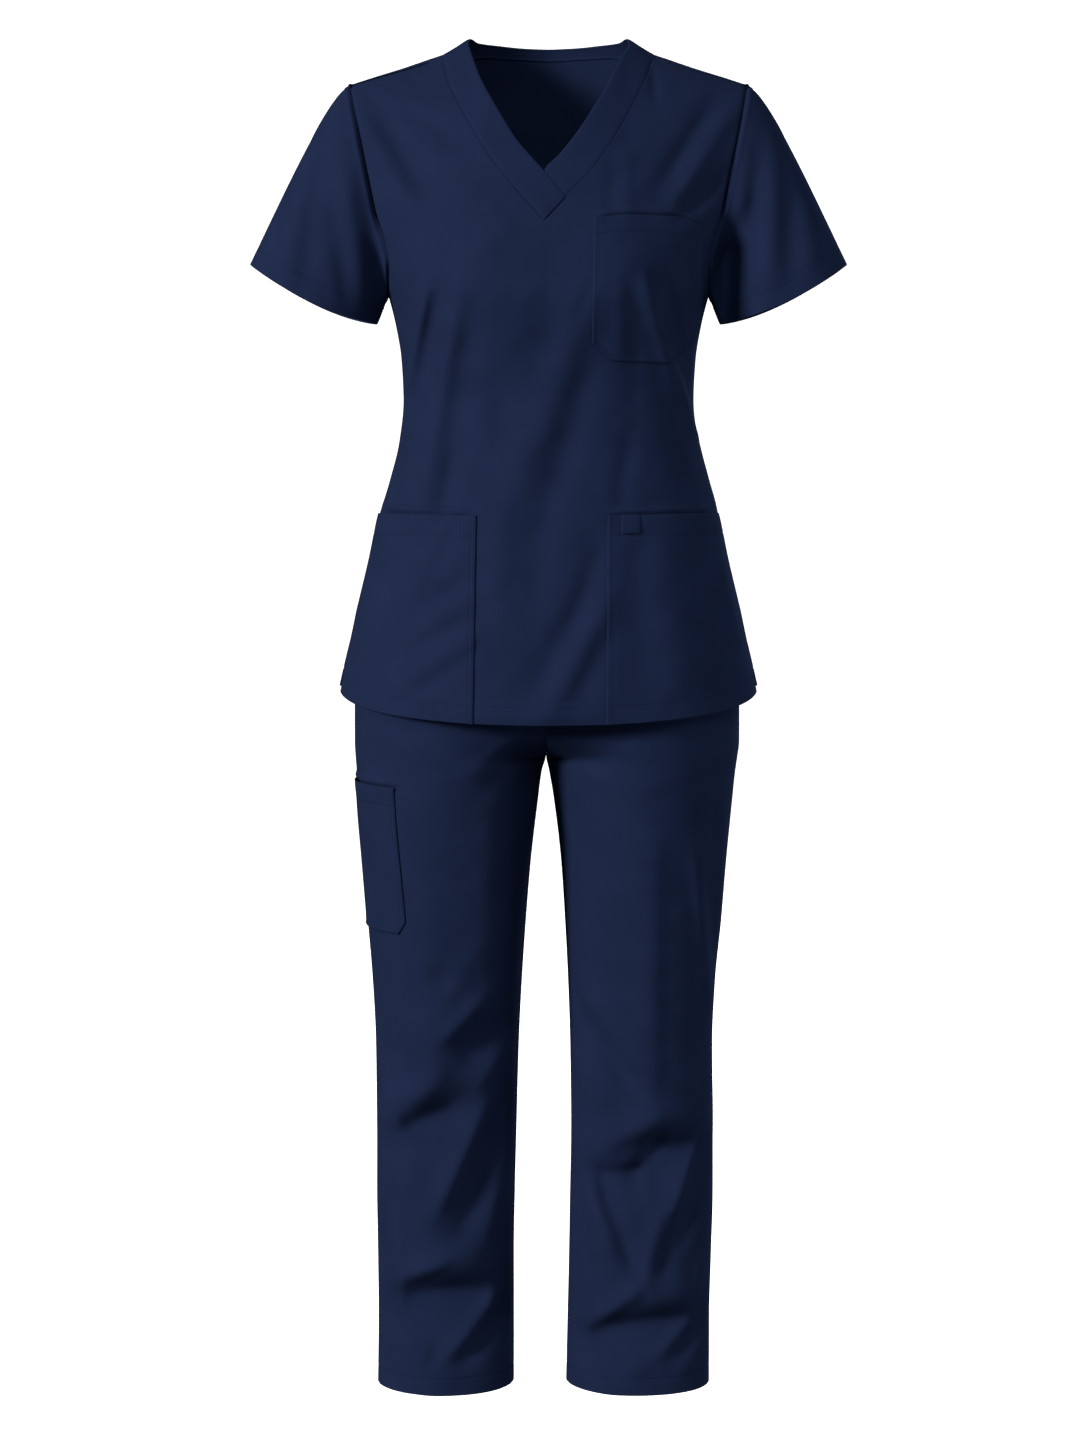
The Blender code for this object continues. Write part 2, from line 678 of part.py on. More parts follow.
def boundary_edges(triangles):
    """Directed edges that belong to one triangle only."""
    edges = {}
    for face in triangles:
        for start, end in zip(face, face[1:] + face[:1]):
            edges[(start, end)] = True
    return [edge for edge in edges if (edge[1], edge[0]) not in edges]


def draw_in(points, triangles, normals, amount):
    """Sheet drawn in from its edges, so two sheets at a seam stand a small gap apart."""
    inward = {}
    for start, end in boundary_edges(triangles):
        along = unit(points[end] - points[start])
        for number in (start, end):
            step = unit(np.cross(normals[number], along))
            inward.setdefault(number, []).append(step)
    moved = points.copy()
    for number, steps in inward.items():
        total = np.sum(steps, axis=0)
        if len(steps) == 2:
            total = total / max(0.5, 1 + float(np.dot(steps[0], steps[1])))
        moved[number] = points[number] + total * amount
    return moved


def cloth(name, points, triangles, normals, wall, lift, colour):
    """Closed solid of one piece of cloth: outer face, inner face and the rim between."""
    outer = points + normals * lift
    inner = outer - normals * wall
    count = len(points)
    faces = [tuple(face) for face in triangles]
    faces += [tuple(number + count for number in face[::-1]) for face in triangles]
    for start, end in boundary_edges(triangles):
        faces.append((end, start, start + count))
        faces.append((end, start + count, end + count))
    vertices = np.vstack([outer, inner]) * MILLIMETRE
    mesh = bpy.data.meshes.new(name)
    mesh.from_pydata([tuple(vertex) for vertex in vertices], [], faces)
    mesh.update()
    material = bpy.data.materials.new(name)
    material.use_nodes = True
    shader = material.node_tree.nodes["Principled BSDF"]
    shader.inputs["Base Color"].default_value = colour
    shader.inputs["Roughness"].default_value = 0.82
    shader.inputs["Metallic"].default_value = 0.0
    mesh.materials.append(material)
    thing = bpy.data.objects.new(name, mesh)
    bpy.context.collection.objects.link(thing)
    return thing


def clip_to_outline(corners, outline):
    """Part of a small polygon that lies inside a convex outline; corners carry flat places."""
    for index, start in enumerate(outline):
        end = outline[(index + 1) % len(outline)]
        kept = []
        for number, corner in enumerate(corners):
            following = corners[(number + 1) % len(corners)]
            here = side_of(start, end, corner)
            there = side_of(start, end, following)
            if here >= 0:
                kept.append(corner)
            if (here > 0 and there < 0) or (here < 0 and there > 0):
                part = here / (here - there)
                kept.append(corner + (following - corner) * part)
        corners = kept
        if len(corners) < 3:
            return []
    return corners


def side_of(start, end, corner):
    """Positive when a corner lies to the inner side of an outline's edge."""
    along = (end[0] - start[0], end[1] - start[1])
    return along[0] * (corner[1] - start[1]) - along[1] * (corner[0] - start[0])


def sewn_on(points, triangles, normals, places, outline):
    """Sheet cut from the faces of the sheet below, by an outline in its flat places."""
    area = 0.0
    for index, start in enumerate(outline):
        end = outline[(index + 1) % len(outline)]
        area += start[0] * end[1] - start[1] * end[0]
    if area < 0:
        outline = outline[::-1]
    new_points = []
    new_normals = []
    new_triangles = []
    index_of = {}
    for face in triangles:
        corners = []
        for number in face:
            corners.append(np.concatenate([places[number], points[number], normals[number]]))
        kept = clip_to_outline(corners, outline)
        numbers = []
        for corner in kept:
            key = tuple(int(round(value * 50)) for value in corner[2:5])
            if key not in index_of:
                index_of[key] = len(new_points)
                new_points.append(corner[2:5])
                new_normals.append(corner[5:8])
            if index_of[key] not in numbers:
                numbers.append(index_of[key])
        for place in range(1, len(numbers) - 1):
            new_triangles.append((numbers[0], numbers[place], numbers[place + 1]))
    return np.array(new_points), new_triangles, np.array(new_normals)


def torso_middle(point):
    """Middle of the top at a point's height."""
    return np.array([0.0, 0.0, point[2]])


def leg_middle(side):
    """Middle line of one trouser leg."""
    def middle(point):
        return np.array([side * 96.0, 0.0, point[2] + 4])
    return middle


def sleeve_middle(side):
    """A point of the sleeve's own middle line level with the point given."""
    def middle(point):
        return np.array([side * (172 - 0.3 * point[2]), 0.0, point[2] - 4])
    return middle


def waistband_grid(top_rows):
    """Ring above the four trouser panels, from their own top edges."""
    low = np.concatenate(top_rows)
    high = low.copy()
    seam_width = float(follow(LEG_OUTLINE, WAISTBAND_SEAM, "left_side"))
    high[:, 0] *= float(follow(LEG_OUTLINE, WAISTBAND_TOP, "left_side")) / seam_width
    high[:, 1] *= WAISTBAND_DEPTH_SHARE
    high[:, 2] = WAISTBAND_TOP
    between = (low + high) / 2
    return np.array([low, between, high])


def build():
    """Build every piece of the set."""
    for thing in list(bpy.data.objects):
        bpy.data.objects.remove(thing, do_unlink=True)

    columns = HALF_COLUMNS
    sheets = {
        "top_front": join_grids([front_half(-1, columns), front_half(1, columns)], torso_middle),
        "top_back": join_grids([back_half(-1, columns), back_half(1, columns)], torso_middle),
        "sleeve_right": join_grids([sleeve_grid(-1, columns)], sleeve_middle(-1)),
        "sleeve_left": join_grids([sleeve_grid(1, columns)], sleeve_middle(1)),
        "neckband_right": join_grids([band_grid(-1, 2)], torso_middle),
        "neckband_left": join_grids([band_grid(1, 2)], torso_middle),
        "neckband_back": join_grids([back_band_grid(2)], torso_middle),
    }
    normals = shared_normals(sheets)
    for name, (points, triangles) in sheets.items():
        moved = draw_in(points, triangles, normals[name], SEAM_GAP / 2)
        banded = name.startswith("neckband")
        wall = BAND_WALL if banded else WALL
        lift = (BAND_WALL - WALL) / 2 if banded else 0.0
        cloth(name, moved, triangles, normals[name], wall, lift, NAVY_BAND if banded else NAVY)

    points, triangles = sheets["top_front"]
    places = points[:, [0, 2]]
    thick = POCKET_LIFT + POCKET_WALL
    layers = [
        ("chest_pocket", CHEST_POCKET, 0.0),
        ("lower_pocket_right", LOWER_POCKET_RIGHT, 0.0),
        ("lower_pocket_left", LOWER_POCKET_LEFT, 0.0),
        ("pocket_loop", POCKET_LOOP, thick),
    ]
    for name, outline, below in layers:
        patch = sewn_on(points, triangles, normals["top_front"], places, outline)
        cloth(name, patch[0], patch[1], patch[2], POCKET_WALL, below + thick, NAVY)

    columns = LEG_COLUMNS
    legs = {}
    for side, word in ((-1, "right"), (1, "left")):
        for front, face in ((True, "front"), (False, "back")):
            grid = leg_grid(side, LEG_ROW_STEPS, front, columns)
            legs["trousers_" + word + "_" + face] = grid
    ring = [
        legs["trousers_right_front"][0],
        legs["trousers_right_back"][0][1:],
        legs["trousers_left_back"][0][::-1][1:],
        legs["trousers_left_front"][0][::-1][1:],
    ]
    sheets = {}
    for name, grid in legs.items():
        side = -1 if "right" in name else 1
        sheets[name] = join_grids([grid], leg_middle(side))
    sheets["waistband"] = join_grids([waistband_grid(ring)], torso_middle)
    normals = shared_normals(sheets)
    for name, (points, triangles) in sheets.items():
        moved = draw_in(points, triangles, normals[name], SEAM_GAP / 2)
        cloth(name, moved, triangles, normals[name], WALL, 0.0, NAVY)

    front = legs["trousers_right_front"]
    back = legs["trousers_right_back"]
    leg = np.concatenate([front, back[:, 1:]], axis=1)
    first = LEG_ROW_STEPS.index(9)
    points, triangles = join_grids([leg[first:, 2:-2]], leg_middle(-1))
    turn_of = {}
    for row, step in enumerate(LEG_ROW_STEPS):
        shift = float(follow(LEG_ROWS, step, "seam_shift"))
        turns = np.concatenate([
            np.linspace(shift, LEG_SIDE_SEAM, columns + 1),
            np.linspace(LEG_SIDE_SEAM, 4 + shift, columns + 1)[1:],
        ])
        for point, turn in zip(leg[row], turns):
            turn_of[key_of(point)] = turn
    places = np.array([(turn_of[key_of(point)], point[2]) for point in points])
    patch = sewn_on(points, triangles, unit(own_normals(points, triangles)), places, CARGO_POCKET)
    cloth("cargo_pocket", patch[0], patch[1], patch[2], POCKET_WALL, thick, NAVY)


build()
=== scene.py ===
import math

import bpy
import numpy as np
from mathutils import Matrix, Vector
from mathutils.bvhtree import BVHTree


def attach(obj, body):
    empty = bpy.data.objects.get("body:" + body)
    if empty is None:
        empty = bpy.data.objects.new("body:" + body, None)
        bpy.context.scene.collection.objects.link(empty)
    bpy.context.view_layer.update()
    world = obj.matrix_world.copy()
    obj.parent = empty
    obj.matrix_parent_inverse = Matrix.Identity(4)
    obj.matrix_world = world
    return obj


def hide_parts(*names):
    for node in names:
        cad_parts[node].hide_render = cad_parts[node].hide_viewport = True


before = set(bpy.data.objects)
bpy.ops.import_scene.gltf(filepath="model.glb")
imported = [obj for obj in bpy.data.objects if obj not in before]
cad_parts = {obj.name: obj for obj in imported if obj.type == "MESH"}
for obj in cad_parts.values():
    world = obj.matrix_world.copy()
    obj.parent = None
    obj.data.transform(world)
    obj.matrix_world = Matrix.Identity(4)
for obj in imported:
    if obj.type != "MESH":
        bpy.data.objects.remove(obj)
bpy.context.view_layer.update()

# Sizes in millimetres, unless a name says otherwise
MILLIMETRE = 0.001
CLOTH = 0.9
HEM_CLOTH = 1.7
BAND_CLOTH = 1.9
POCKET_CLOTH = 1.1
SEAM_DIP = 0.55
SEAM_DIP_WIDTH = 1.5
STITCH_DIP = 0.4
STITCH_DIP_WIDTH = 0.9
ARMHOLE_DIP = 1.8
ARMHOLE_DIP_WIDTH = 2.2
SLEEVE_EDGE_RISE = 0.9
SLEEVE_EDGE_RISE_AT = 4.5
SLEEVE_EDGE_RISE_WIDTH = 2.4
FOLD_END_LENGTH = 1.5
FOLD_FADE = 0.5
LEG_FOLD_FADE = 0.4
MOUTH_DIP = 2.6
MOUTH_ROLL = 2.2
MOUTH_WIDTH = 3.2
MOUTH_ROLL_ABOVE = 4.5
MOUTH_DIP_BELOW = 1.5
MOUTH_END = 12.0
POCKET_MOUTH_HEIGHT = -461.0
EDGE_DIP = 0.35
EDGE_DIP_WIDTH = 1.2
DOUBLED_EDGE_WIDTH = 0.6
PANEL_RIM = 0.3
PATCH_RIM = 0.4
BAND_RIM = 0.45
CHEST_POCKET_TOP_INNER = 43.0
CHEST_POCKET_FOOT_INNER = 41.5
CHEST_POCKET_OUTER = 152.0
LOOP_ACROSS = 69.3
LOOP_TOP = -463.2
LOOP_SIZE = 17.4
THIGH_POCKET_TOP = -728.0
THIGH_POCKET_CORNER = -862.0
THIGH_POCKET_FOOT = -874.0
THIGH_POCKET_EDGE = -146.0
LEG_FOOT = -1345.0
LEG_MIDDLE = 96.0
CROTCH_ROW = 9
HEM_DIP = 27.0
BACK_HEM_DIP = 17.0
HEM_DIP_FADE = 150.0
HEM_HEIGHT = -635.0
ARMPIT_HEIGHT = -249.3
VENT_TOP = -560.0
VENT_SPREAD = 9.0
VENT_PULL = 4.5
CENTRE_ACROSS = -1.5
SHOULDER_INNER = 104.0
SHOULDER_OUTER = 194.5
SECTION_POWER = 2.4
FRONT_SLOPE = 250.0
FRONT_SLOPE_POWER = 1.5
BACK_SLOPE = 200.0
BUST_RISE = 9.0
BUST_ACROSS = 72.0
BUST_HEIGHT = -238.0
BUST_HALF_WIDTH = 45.0
BUST_HALF_HEIGHT = 62.0
WAISTBAND_TOP = -400.0
WAISTBAND_SEAM = -437.0
WAISTBAND_DEPTH_SHARE = 0.95
LEG_SIDE_SEAM = 1.88
TOP_STITCH_FROM_HEM = 17.5
SLEEVE_STITCH_FROM_HEM = 20.0
LEG_STITCH_FROM_HEM = 17.0
POCKET_STITCH_FROM_MOUTH = 20.0
CHEST_STITCH_FROM_MOUTH = 16.0
THIGH_STITCH_FROM_MOUTH = 18.0
POCKET_EDGE_STITCHES = (1.4, 5.0)
EDGE_STITCH_DIP_AT = 4.5
STITCH_PITCH = 2.8
TACK_PITCH = 1.5
LOOP_PITCH = 1.8
THREAD_RADIUS = 0.3

# Half width of the top and its depth in front of and behind the shoulder line
TORSO = [
    ("height", "half_width", "front_depth", "back_depth"),
    (60, 228, 110, 92),
    (-20, 228, 110, 94),
    (-72, 224, 111, 96),
    (-110, 214, 112, 98),
    (-145, 199, 113, 99),
    (-179, 183, 114, 99),
    (-206, 171, 115, 98),
    (-249.3, 158, 114, 95),
    (-277, 151, 109, 90),
    (-312, 145.4, 101, 86),
    (-351, 143.6, 96, 85),
    (-391, 147.7, 98, 90),
    (-430, 157.3, 104, 100),
    (-470, 169.4, 112, 112),
    (-510, 178, 120, 121),
    (-549, 187.5, 127, 127),
    (-590, 197.5, 133, 131),
    (-635, 207, 138, 134),
    (-680, 215.5, 142, 137),
]

# Height of the shoulder ridge and how far in front and below it the seam lies
RIDGE = [
    ("across", "height", "seam_drop"),
    (-40, 34, 7),
    (0, 60, 7),
    (40, 34, 7),
    (60, 17, 7),
    (78, 0.5, 7),
    (83, -2.7, 6.6),
    (92, -8.5, 6),
    (102.4, -14.3, 5.2),
    (119, -20, 4.6),
    (135.7, -25.8, 4),
    (154.4, -31.6, 3.2),
    (173.5, -37.4, 2.2),
    (190.7, -43.2, 1.6),
    (196.5, -45.5, 1.4),
    (230, -58, 1.2),
]

# Armhole seam from the armpit at station 0 to the shoulder seam at station 9
ARMHOLE = [
    ("station", "height", "across"),
    (0, -249.3, 158),
    (1, -240, 157),
    (2, -222, 156.9),
    (3, -200, 160.3),
    (4, -172, 168.5),
    (5, -140, 175),
    (6, -107, 181.8),
    (7, -77, 188),
    (8, -58, 192),
    (9, -45, 194.5),
]

# Front neckline seam, from the point of the V to the shoulder seam, on each side
FRONT_NECK = [
    ("station", "right_across", "right_height", "left_across", "left_height"),
    (3, -4.6, -181.9, -4.6, -181.9),
    (4, -23.6, -160.3, 15.4, -160.3),
    (5, -39.8, -141.4, 33.5, -142.4),
    (6, -59, -115.8, 54.7, -115),
    (7, -78.5, -82.2, 74.2, -81.9),
    (8, -96.5, -46, 92, -45.5),
    (9, -104, -20.4, 104, -20.4),
]

# Open edge of the two front neckbands
BAND_EDGE = [
    ("station", "right_across", "right_height", "left_across", "left_height"),
    (3, 15.4, -160.3, 15.4, -160.3),
    (4, -3.6, -136.9, -3.6, -136.9),
    (5, -15, -124.2, 11.7, -118.5),
    (6, -30.8, -105.6, 27, -98.9),
    (7, -48.2, -76.8, 47.3, -67),
    (8, -68, -39.2, 66.5, -32),
    (9, -79, -7.2, 79, -7.2),
]

# Centre lines from the armpit's height to the neck, and both edges of the back neckband
FRONT_CENTRE = [
    ("station", "across", "height"),
    (0, -1.5, -249.3),
    (1, -2.5, -228),
    (2, -3.6, -205),
    (3, -4.6, -181.9),
]

BACK_CENTRE = [
    ("station", "height"),
    (0, -249.3),
    (1, -215),
    (2, -175),
    (3, -127),
    (4, -72),
    (5, -13.6),
]

BACK_NECK = [
    ("station", "seam_across", "seam_height", "edge_across", "edge_height"),
    (5, 0, -13.6, 0, -3.4),
    (6, 30, -12.8, 28, -3),
    (7, 58, -12.4, 52, -2),
    (8, 84, -15.5, 70, -1.5),
    (9, 104, -14.9, 78.5, 0.1),
]

# Sleeve: where its cloth starts out at the armhole and the oval of its hem
SLEEVE_START = [
    ("fraction", "outward", "forward", "up"),
    (0, 0.45, 0, -0.9),
    (0.25, 0.62, 0.12, -0.75),
    (0.5, 0.82, 0.25, -0.45),
    (0.8, 0.93, 0.18, -0.3),
    (1, 0.95, 0, -0.31),
]
SLEEVE_RUN = (0.44, 0.0, -0.9)
SLEEVE_HEM_OUTER = (294.2, 0.0, -218.5)
SLEEVE_HEM_INNER = (169.0, 0.0, -277.0)
SLEEVE_HEM_HALF_DEPTH = 55.0
SLEEVE_HEM_DIP = 9.0

# Outline of the trousers across the front, each leg by itself
LEG_OUTLINE = [
    ("height", "right_side", "right_inner", "left_inner", "left_side"),
    (-400, -147.75, -2.5, -2.5, 147.75),
    (-437, -150.5, -2.5, -2.5, 150.5),
    (-480, -160, -2.5, -2.5, 160),
    (-530, -171, -2.5, -2.5, 170),
    (-580, -182, -2.5, -2.5, 180),
    (-622, -190, -2.5, -2.5, 187),
    (-649, -193.4, -2.5, -2.5, 190.4),
    (-690, -193.6, -2.5, -2.5, 190.6),
    (-704.7, -192.9, -2.5, -2.5, 188.9),
    (-720, -191.8, -6.5, 0.5, 186.8),
    (-750, -190.9, -10.5, 5.5, 183.9),
    (-811, -186.3, -17.6, 12.6, 178.3),
    (-872, -181.6, -22.6, 16.6, 173.6),
    (-933, -176.9, -26.7, 19.7, 167.9),
    (-994, -174.2, -29.7, 21.8, 165.4),
    (-1086, -173.6, -32.3, 22.9, 166.7),
    (-1148, -173.9, -33.9, 21.9, 166.8),
    (-1211, -173.2, -35, 20.9, 165.3),
    (-1273, -172.9, -35, 19.6, 163.9),
    (-1345, -173.9, -35.1, 18, 163.9),
]

# Rows of a trouser leg: centre seam down to the crotch at row 9, then the inner leg seam
LEG_ROWS = [
    ("row", "side_height", "front_seam_depth", "front_seam_height", "back_seam_depth",
     "back_seam_height", "seam_turn", "front_depth", "back_depth", "slope", "seam_shift"),
    (0, -437, 90, -437, 86, -437, 0, 84, 80, 0.3, 0),
    (1, -480, 98, -480, 99, -480, 0, 92, 92, 0.3, 0),
    (2, -530, 106, -530, 112, -530, 0, 101, 104, 0.28, 0),
    (3, -580, 111, -580, 119, -580, 0, 107, 112, 0.25, 0),
    (4, -622, 111, -622, 119, -622, 0, 110, 115, 0.2, 0),
    (5, -652, 106, -655, 112, -652, 5, 111, 113, 0.15, 0),
    (6, -675, 90, -681, 96, -676, 18, 110, 109, 0.1, 0),
    (7, -690, 60, -696, 66, -693, 38, 109, 106, 0.05, 0),
    (8, -702, 26, -703, 36, -702, 62, 108, 104, 0, 0),
    (9, -712, -6, -704.7, 6, -704.7, 90, 107, 102, 0, 0),
    (10, -735, -6, -728, 6, -728, 90, 104, 99, 0, 0),
    (11, -775, -5, -772, 5, -772, 90, 98, 95, 0, 0.06),
    (12, -820, -4, -820, 4, -820, 90, 91, 89, 0, 0.12),
    (13, -870, -3, -870, 3, -870, 90, 84, 83, 0, 0.12),
    (14, -930, -3, -930, 3, -930, 90, 76, 77, 0, 0.12),
    (15, -1000, -3, -1000, 3, -1000, 90, 69, 70, 0, 0.12),
    (16, -1080, -3, -1080, 3, -1080, 90, 63, 66, 0, 0.12),
    (17, -1160, -3, -1160, 3, -1160, 90, 59, 63, 0, 0.12),
    (18, -1250, -3, -1250, 3, -1250, 90, 56.5, 61, 0, 0.12),
    (19, -1345, -3, -1345, 3, -1345, 90, 55, 59, 0, 0.12),
]

# Folds: a soft ridge or trough along a line, which may be bowed and steeper on one side where it leans
FOLD_COLUMNS = ("from_across", "from_height", "to_across", "to_height", "half_width", "rise", "bow", "lean")
FRONT_FOLDS = [
    (-184, -76, -133, -169, 12, 5.5),
    (-162, -80, -118, -150, 13, -5),
    (-145, -72, -90, -98, 9, -3),
    (100, -28, 103, -62, 5, -2),
    (159, -66, 110, -145, 10, -6),
    (176, -77, 126, -158, 10, 5),
    (166, -136, 130, -172, 10, -9),
    (60, -136, 58, -177, 7, -1.4),
    (75, -124, 75, -177, 7, 1.4),
    (66, -244, 68, -311, 7, 1.8),
    (81, -245, 83, -372, 9, -1.6),
    (93, -243, 128, -344, 7, 11, 0, -0.35),
    (128, -344, 134, -366, 7, 2, 0, -0.3),
    (112, -246, 134, -334, 9, -12),
    (78, -391, 67, -460, 10, -3.6),
    (35, -274, -41, -455, 20, 6),
    (38, -303, -4, -461, 16, -5, 4, 0),
    (39, -246, 27, -275, 5, -2),
    (-117, -250, -137, -336, 5.5, 4.5),
    (-103, -248, -138, -397, 11.5, -8),
    (-87, -258, -128, -456, 12, 8),
    (-74, -256, -96, -460, 16, -4),
    (-89, -397, -103, -462, 10, -5),
    (-149, -416, -153, -461, 7, -5),
    (-45, -349, -47, -378, 10, -2),
    (88, -455, 148, -454, 9, -3),
    (-141, -455, -83, -455, 9, -3),
    (-4, -467, -16, -554, 14, -2.4),
    (-43, -460, -50, -549, 12, 2.6),
    (55, -543, 3, -645, 12, 5.5, 0, -0.1),
    (45, -532, -20, -630, 15, -4.5),
    (51, -486, 26, -554, 10, -3.2),
    (54, -581, 28, -638, 9, -2.5),
    (-79, -461, -106, -508, 7, -2.6),
    (-74, -522, -118, -548, 9, -2.6),
    (-73, -541, -124, -573, 9, 1.8),
    (-72, -560, -146, -600, 10, -3),
    (-71, -577, -132, -623, 9, 2),
    (-71, -592, -143, -642, 9, -3),
    (115, -506, 124, -641, 20, 4),
    (160, -469, 167, -569, 10, -4),
    (174, -518, 188, -592, 6, 6),
    (88, -486, 83, -629, 14, -2.4),
    (-71, -651, 45, -653, 11, 4.5),
    (-124, -492, -152, -584, 16, 2),
    (-27, -212, -75, -258, 26, -1.6),
]
# Sharp creases near the side seams of the front, square to the cloth
SIDE_CREASES = [
    (123, -316, 145, -386, 3.5, 2.4, 0, -0.3),
    (145, -386, 166, -460, 3.5, 2.2, 0, -0.3),
    (-117, -250, -138, -340, 3.5, 2.0),
    (-121, -346, -146, -459, 4, 2.0),
    (-108, -257, -129, -366, 6, -1.8),
]
BACK_FOLDS = [
    (-150, -210, -72, -122, 13, -6),
    (-128, -226, -64, -150, 11, 4),
    (142, -224, 70, -130, 13, -6, 3, 0),
    (118, -232, 58, -158, 11, 4),
    (-168, -86, -120, -112, 12, -3.5),
    (172, -82, 112, -104, 11, -3.5),
    (-38, -262, -122, -420, 17, 6.5, 4, 0),
    (-16, -292, -86, -446, 14, -6.5),
    (-104, -270, -136, -372, 11, -5.5),
    (-84, -258, -126, -330, 8, 4),
    (34, -280, 96, -432, 16, -6.5, -3, 0),
    (62, -268, 128, -398, 13, 6),
    (96, -262, 136, -344, 9, -5),
    (6, -350, 22, -470, 14, 4),
    (-6, -428, 66, -566, 17, 6, 5, 0),
    (-34, -440, 34, -600, 15, -5.5),
    (-76, -492, -18, -640, 15, 5.5, -4, 0),
    (-108, -508, -62, -628, 13, -5),
    (118, -486, 92, -618, 14, -4.5),
    (146, -520, 128, -638, 13, 4),
    (-150, -500, -146, -632, 15, 4),
    (-40, -632, 70, -640, 11, 4),
]
RIGHT_SLEEVE_FRONT_FOLDS = [
    (-223, -100, -237, -232, 9, -4),
    (-244, -150, -255, -236, 10, 2.5),
    (-219, -130, -195, -257, 11, -3.2),
    (-196, -120, -184, -246, 10, 3),
    (-166, -190, -162, -270, 10, -15),
    (-211, -194, -208, -256, 6, 1.2),
]
RIGHT_SLEEVE_BACK_FOLDS = [
    (-200, -104, -212, -240, 12, -7),
    (-226, -120, -238, -246, 10, 4.5),
    (-182, -150, -186, -262, 8, 4),
]
LEFT_SLEEVE_FRONT_FOLDS = [
    (206, -91, 190, -257, 12, -4.5),
    (219, -112, 213, -236, 11, 5),
    (236, -139, 234, -234, 10, -3.5),
    (253, -160, 255, -232, 10, 3),
    (190, -112, 179, -240, 8, 3),
    (176, -195, 172, -290, 15, -42),
]
LEFT_SLEEVE_BACK_FOLDS = [
    (206, -106, 196, -246, 12, -7.5),
    (232, -128, 224, -240, 10, 4.5),
    (256, -168, 252, -232, 10, -3),
]
LEG_FRONT_FOLDS = [
    (-35, -681, -76, -710, 8, 3),
    (-20, -687, -61, -729, 9, -3),
    (-50, -729, -57, -941, 20, 6, 0, -0.15),
    (-81, -899, -101, -947, 11, 2.4),
    (-116, -913, -95, -925, 9, -3),
    (-58, -937, -103, -978, 10, 7, 0, -0.2),
    (-42, -959, -87, -1004, 17, -11),
    (-35, -989, -72, -1032, 9, 4),
    (-101, -1012, -148, -1048, 15, 8),
    (-90, -1046, -146, -1080, 20, -15, 0, 0.3),
    (-60, -1050, -111, -1156, 10, 9, 0, -0.2),
    (-47, -1054, -85, -1173, 13, -10),
    (-37, -1102, -61, -1186, 9, 4),
    (-98, -1200, -146, -1225, 9, 6),
    (-146, -1251, -58, -1245, 22, -16, 6, -0.3),
    (-51, -1246, -94, -1298, 8, 8, 0, -0.2),
    (-42, -1263, -81, -1307, 10, -8.5),
    (-161, -1035, -146, -1077, 6, 3),
    (-157, -1144, -145, -1241, 8, 3.5),
    (-111, -1289, -119, -1316, 6, -2.5),
    (-148, -1085, -157, -1155, 9, -3),
    (-145, -1259, -158, -1326, 10, -3),
    (-123, -818, -115, -1021, 18, 2.4),
    (22, -689, 56, -712, 6, -3.6),
    (38, -681, 88, -691, 10, 3),
    (103, -788, 102, -1053, 15, 5, 0, -0.3),
    (88, -708, 95, -808, 20, 2),
    (144, -792, 161, -937, 6, 8),
    (161, -754, 165, -920, 8, -10),
    (31, -958, 83, -1029, 12, -9),
    (26, -1000, 57, -1055, 10, 5),
    (102, -1062, 50, -1092, 14, 7),
    (156, -1095, 97, -1092, 20, -14, 0, 0.35),
    (109, -1082, 88, -1119, 10, -7),
    (96, -1119, 48, -1123, 18, -13, 0, 0.35),
    (49, -1120, 88, -1219, 9, -8),
    (36, -1129, 63, -1208, 9, 3),
    (137, -1104, 95, -1223, 11, 8),
    (119, -1140, 113, -1230, 10, -4),
    (161, -1056, 127, -1153, 5.5, 7),
    (161, -1099, 135, -1181, 9, -10),
    (162, -1176, 148, -1254, 6, 4),
    (92, -1230, 48, -1270, 9, 7),
    (42, -1292, 142, -1275, 22, -17, 8, -0.3),
    (143, -1273, 112, -1302, 7, 6),
    (157, -1280, 128, -1310, 8, -6),
    (26, -1303, 58, -1322, 10, -3),
    (92, -1298, 88, -1324, 12, 2),
    (152, -1060, 100, -1058, 15, 6),
    (96, -1240, 146, -1240, 16, 7),
    (-140, -1214, -64, -1210, 16, 7, 5, 0),
]
LEG_BACK_FOLDS = [
    (-26, -712, -96, -738, 12, -5),
    (-40, -742, -142, -716, 14, -5, 6, 0),
    (-58, -730, -70, -900, 17, 4),
    (-64, -930, -138, -962, 11, -6),
    (-146, -1000, -78, -1040, 11, -7),
    (-134, -1022, -70, -1066, 9, 5),
    (-62, -1088, -128, -1146, 11, -6.5),
    (-58, -1110, -112, -1170, 9, 5),
    (-146, -1150, -92, -1202, 11, -6),
    (-66, -1206, -146, -1242, 9, -7, -5, 0),
    (-62, -1228, -120, -1262, 8, 4.5),
    (-150, -1268, -66, -1296, 9, -6),
    (24, -710, 98, -736, 12, -5),
    (38, -742, 138, -720, 14, -5, 6, 0),
    (62, -736, 72, -912, 17, 4),
    (46, -946, 132, -918, 11, -6),
    (142, -984, 66, -1030, 11, -7),
    (138, -1006, 72, -1054, 9, 5),
    (40, -1072, 116, -1126, 11, -6.5),
    (146, -1120, 84, -1168, 10, -6),
    (44, -1178, 104, -1222, 9, 5),
    (148, -1206, 52, -1238, 9, -7, 6, 0),
    (56, -1262, 142, -1284, 9, -6),
    (60, -1240, 128, -1258, 8, 4),
]


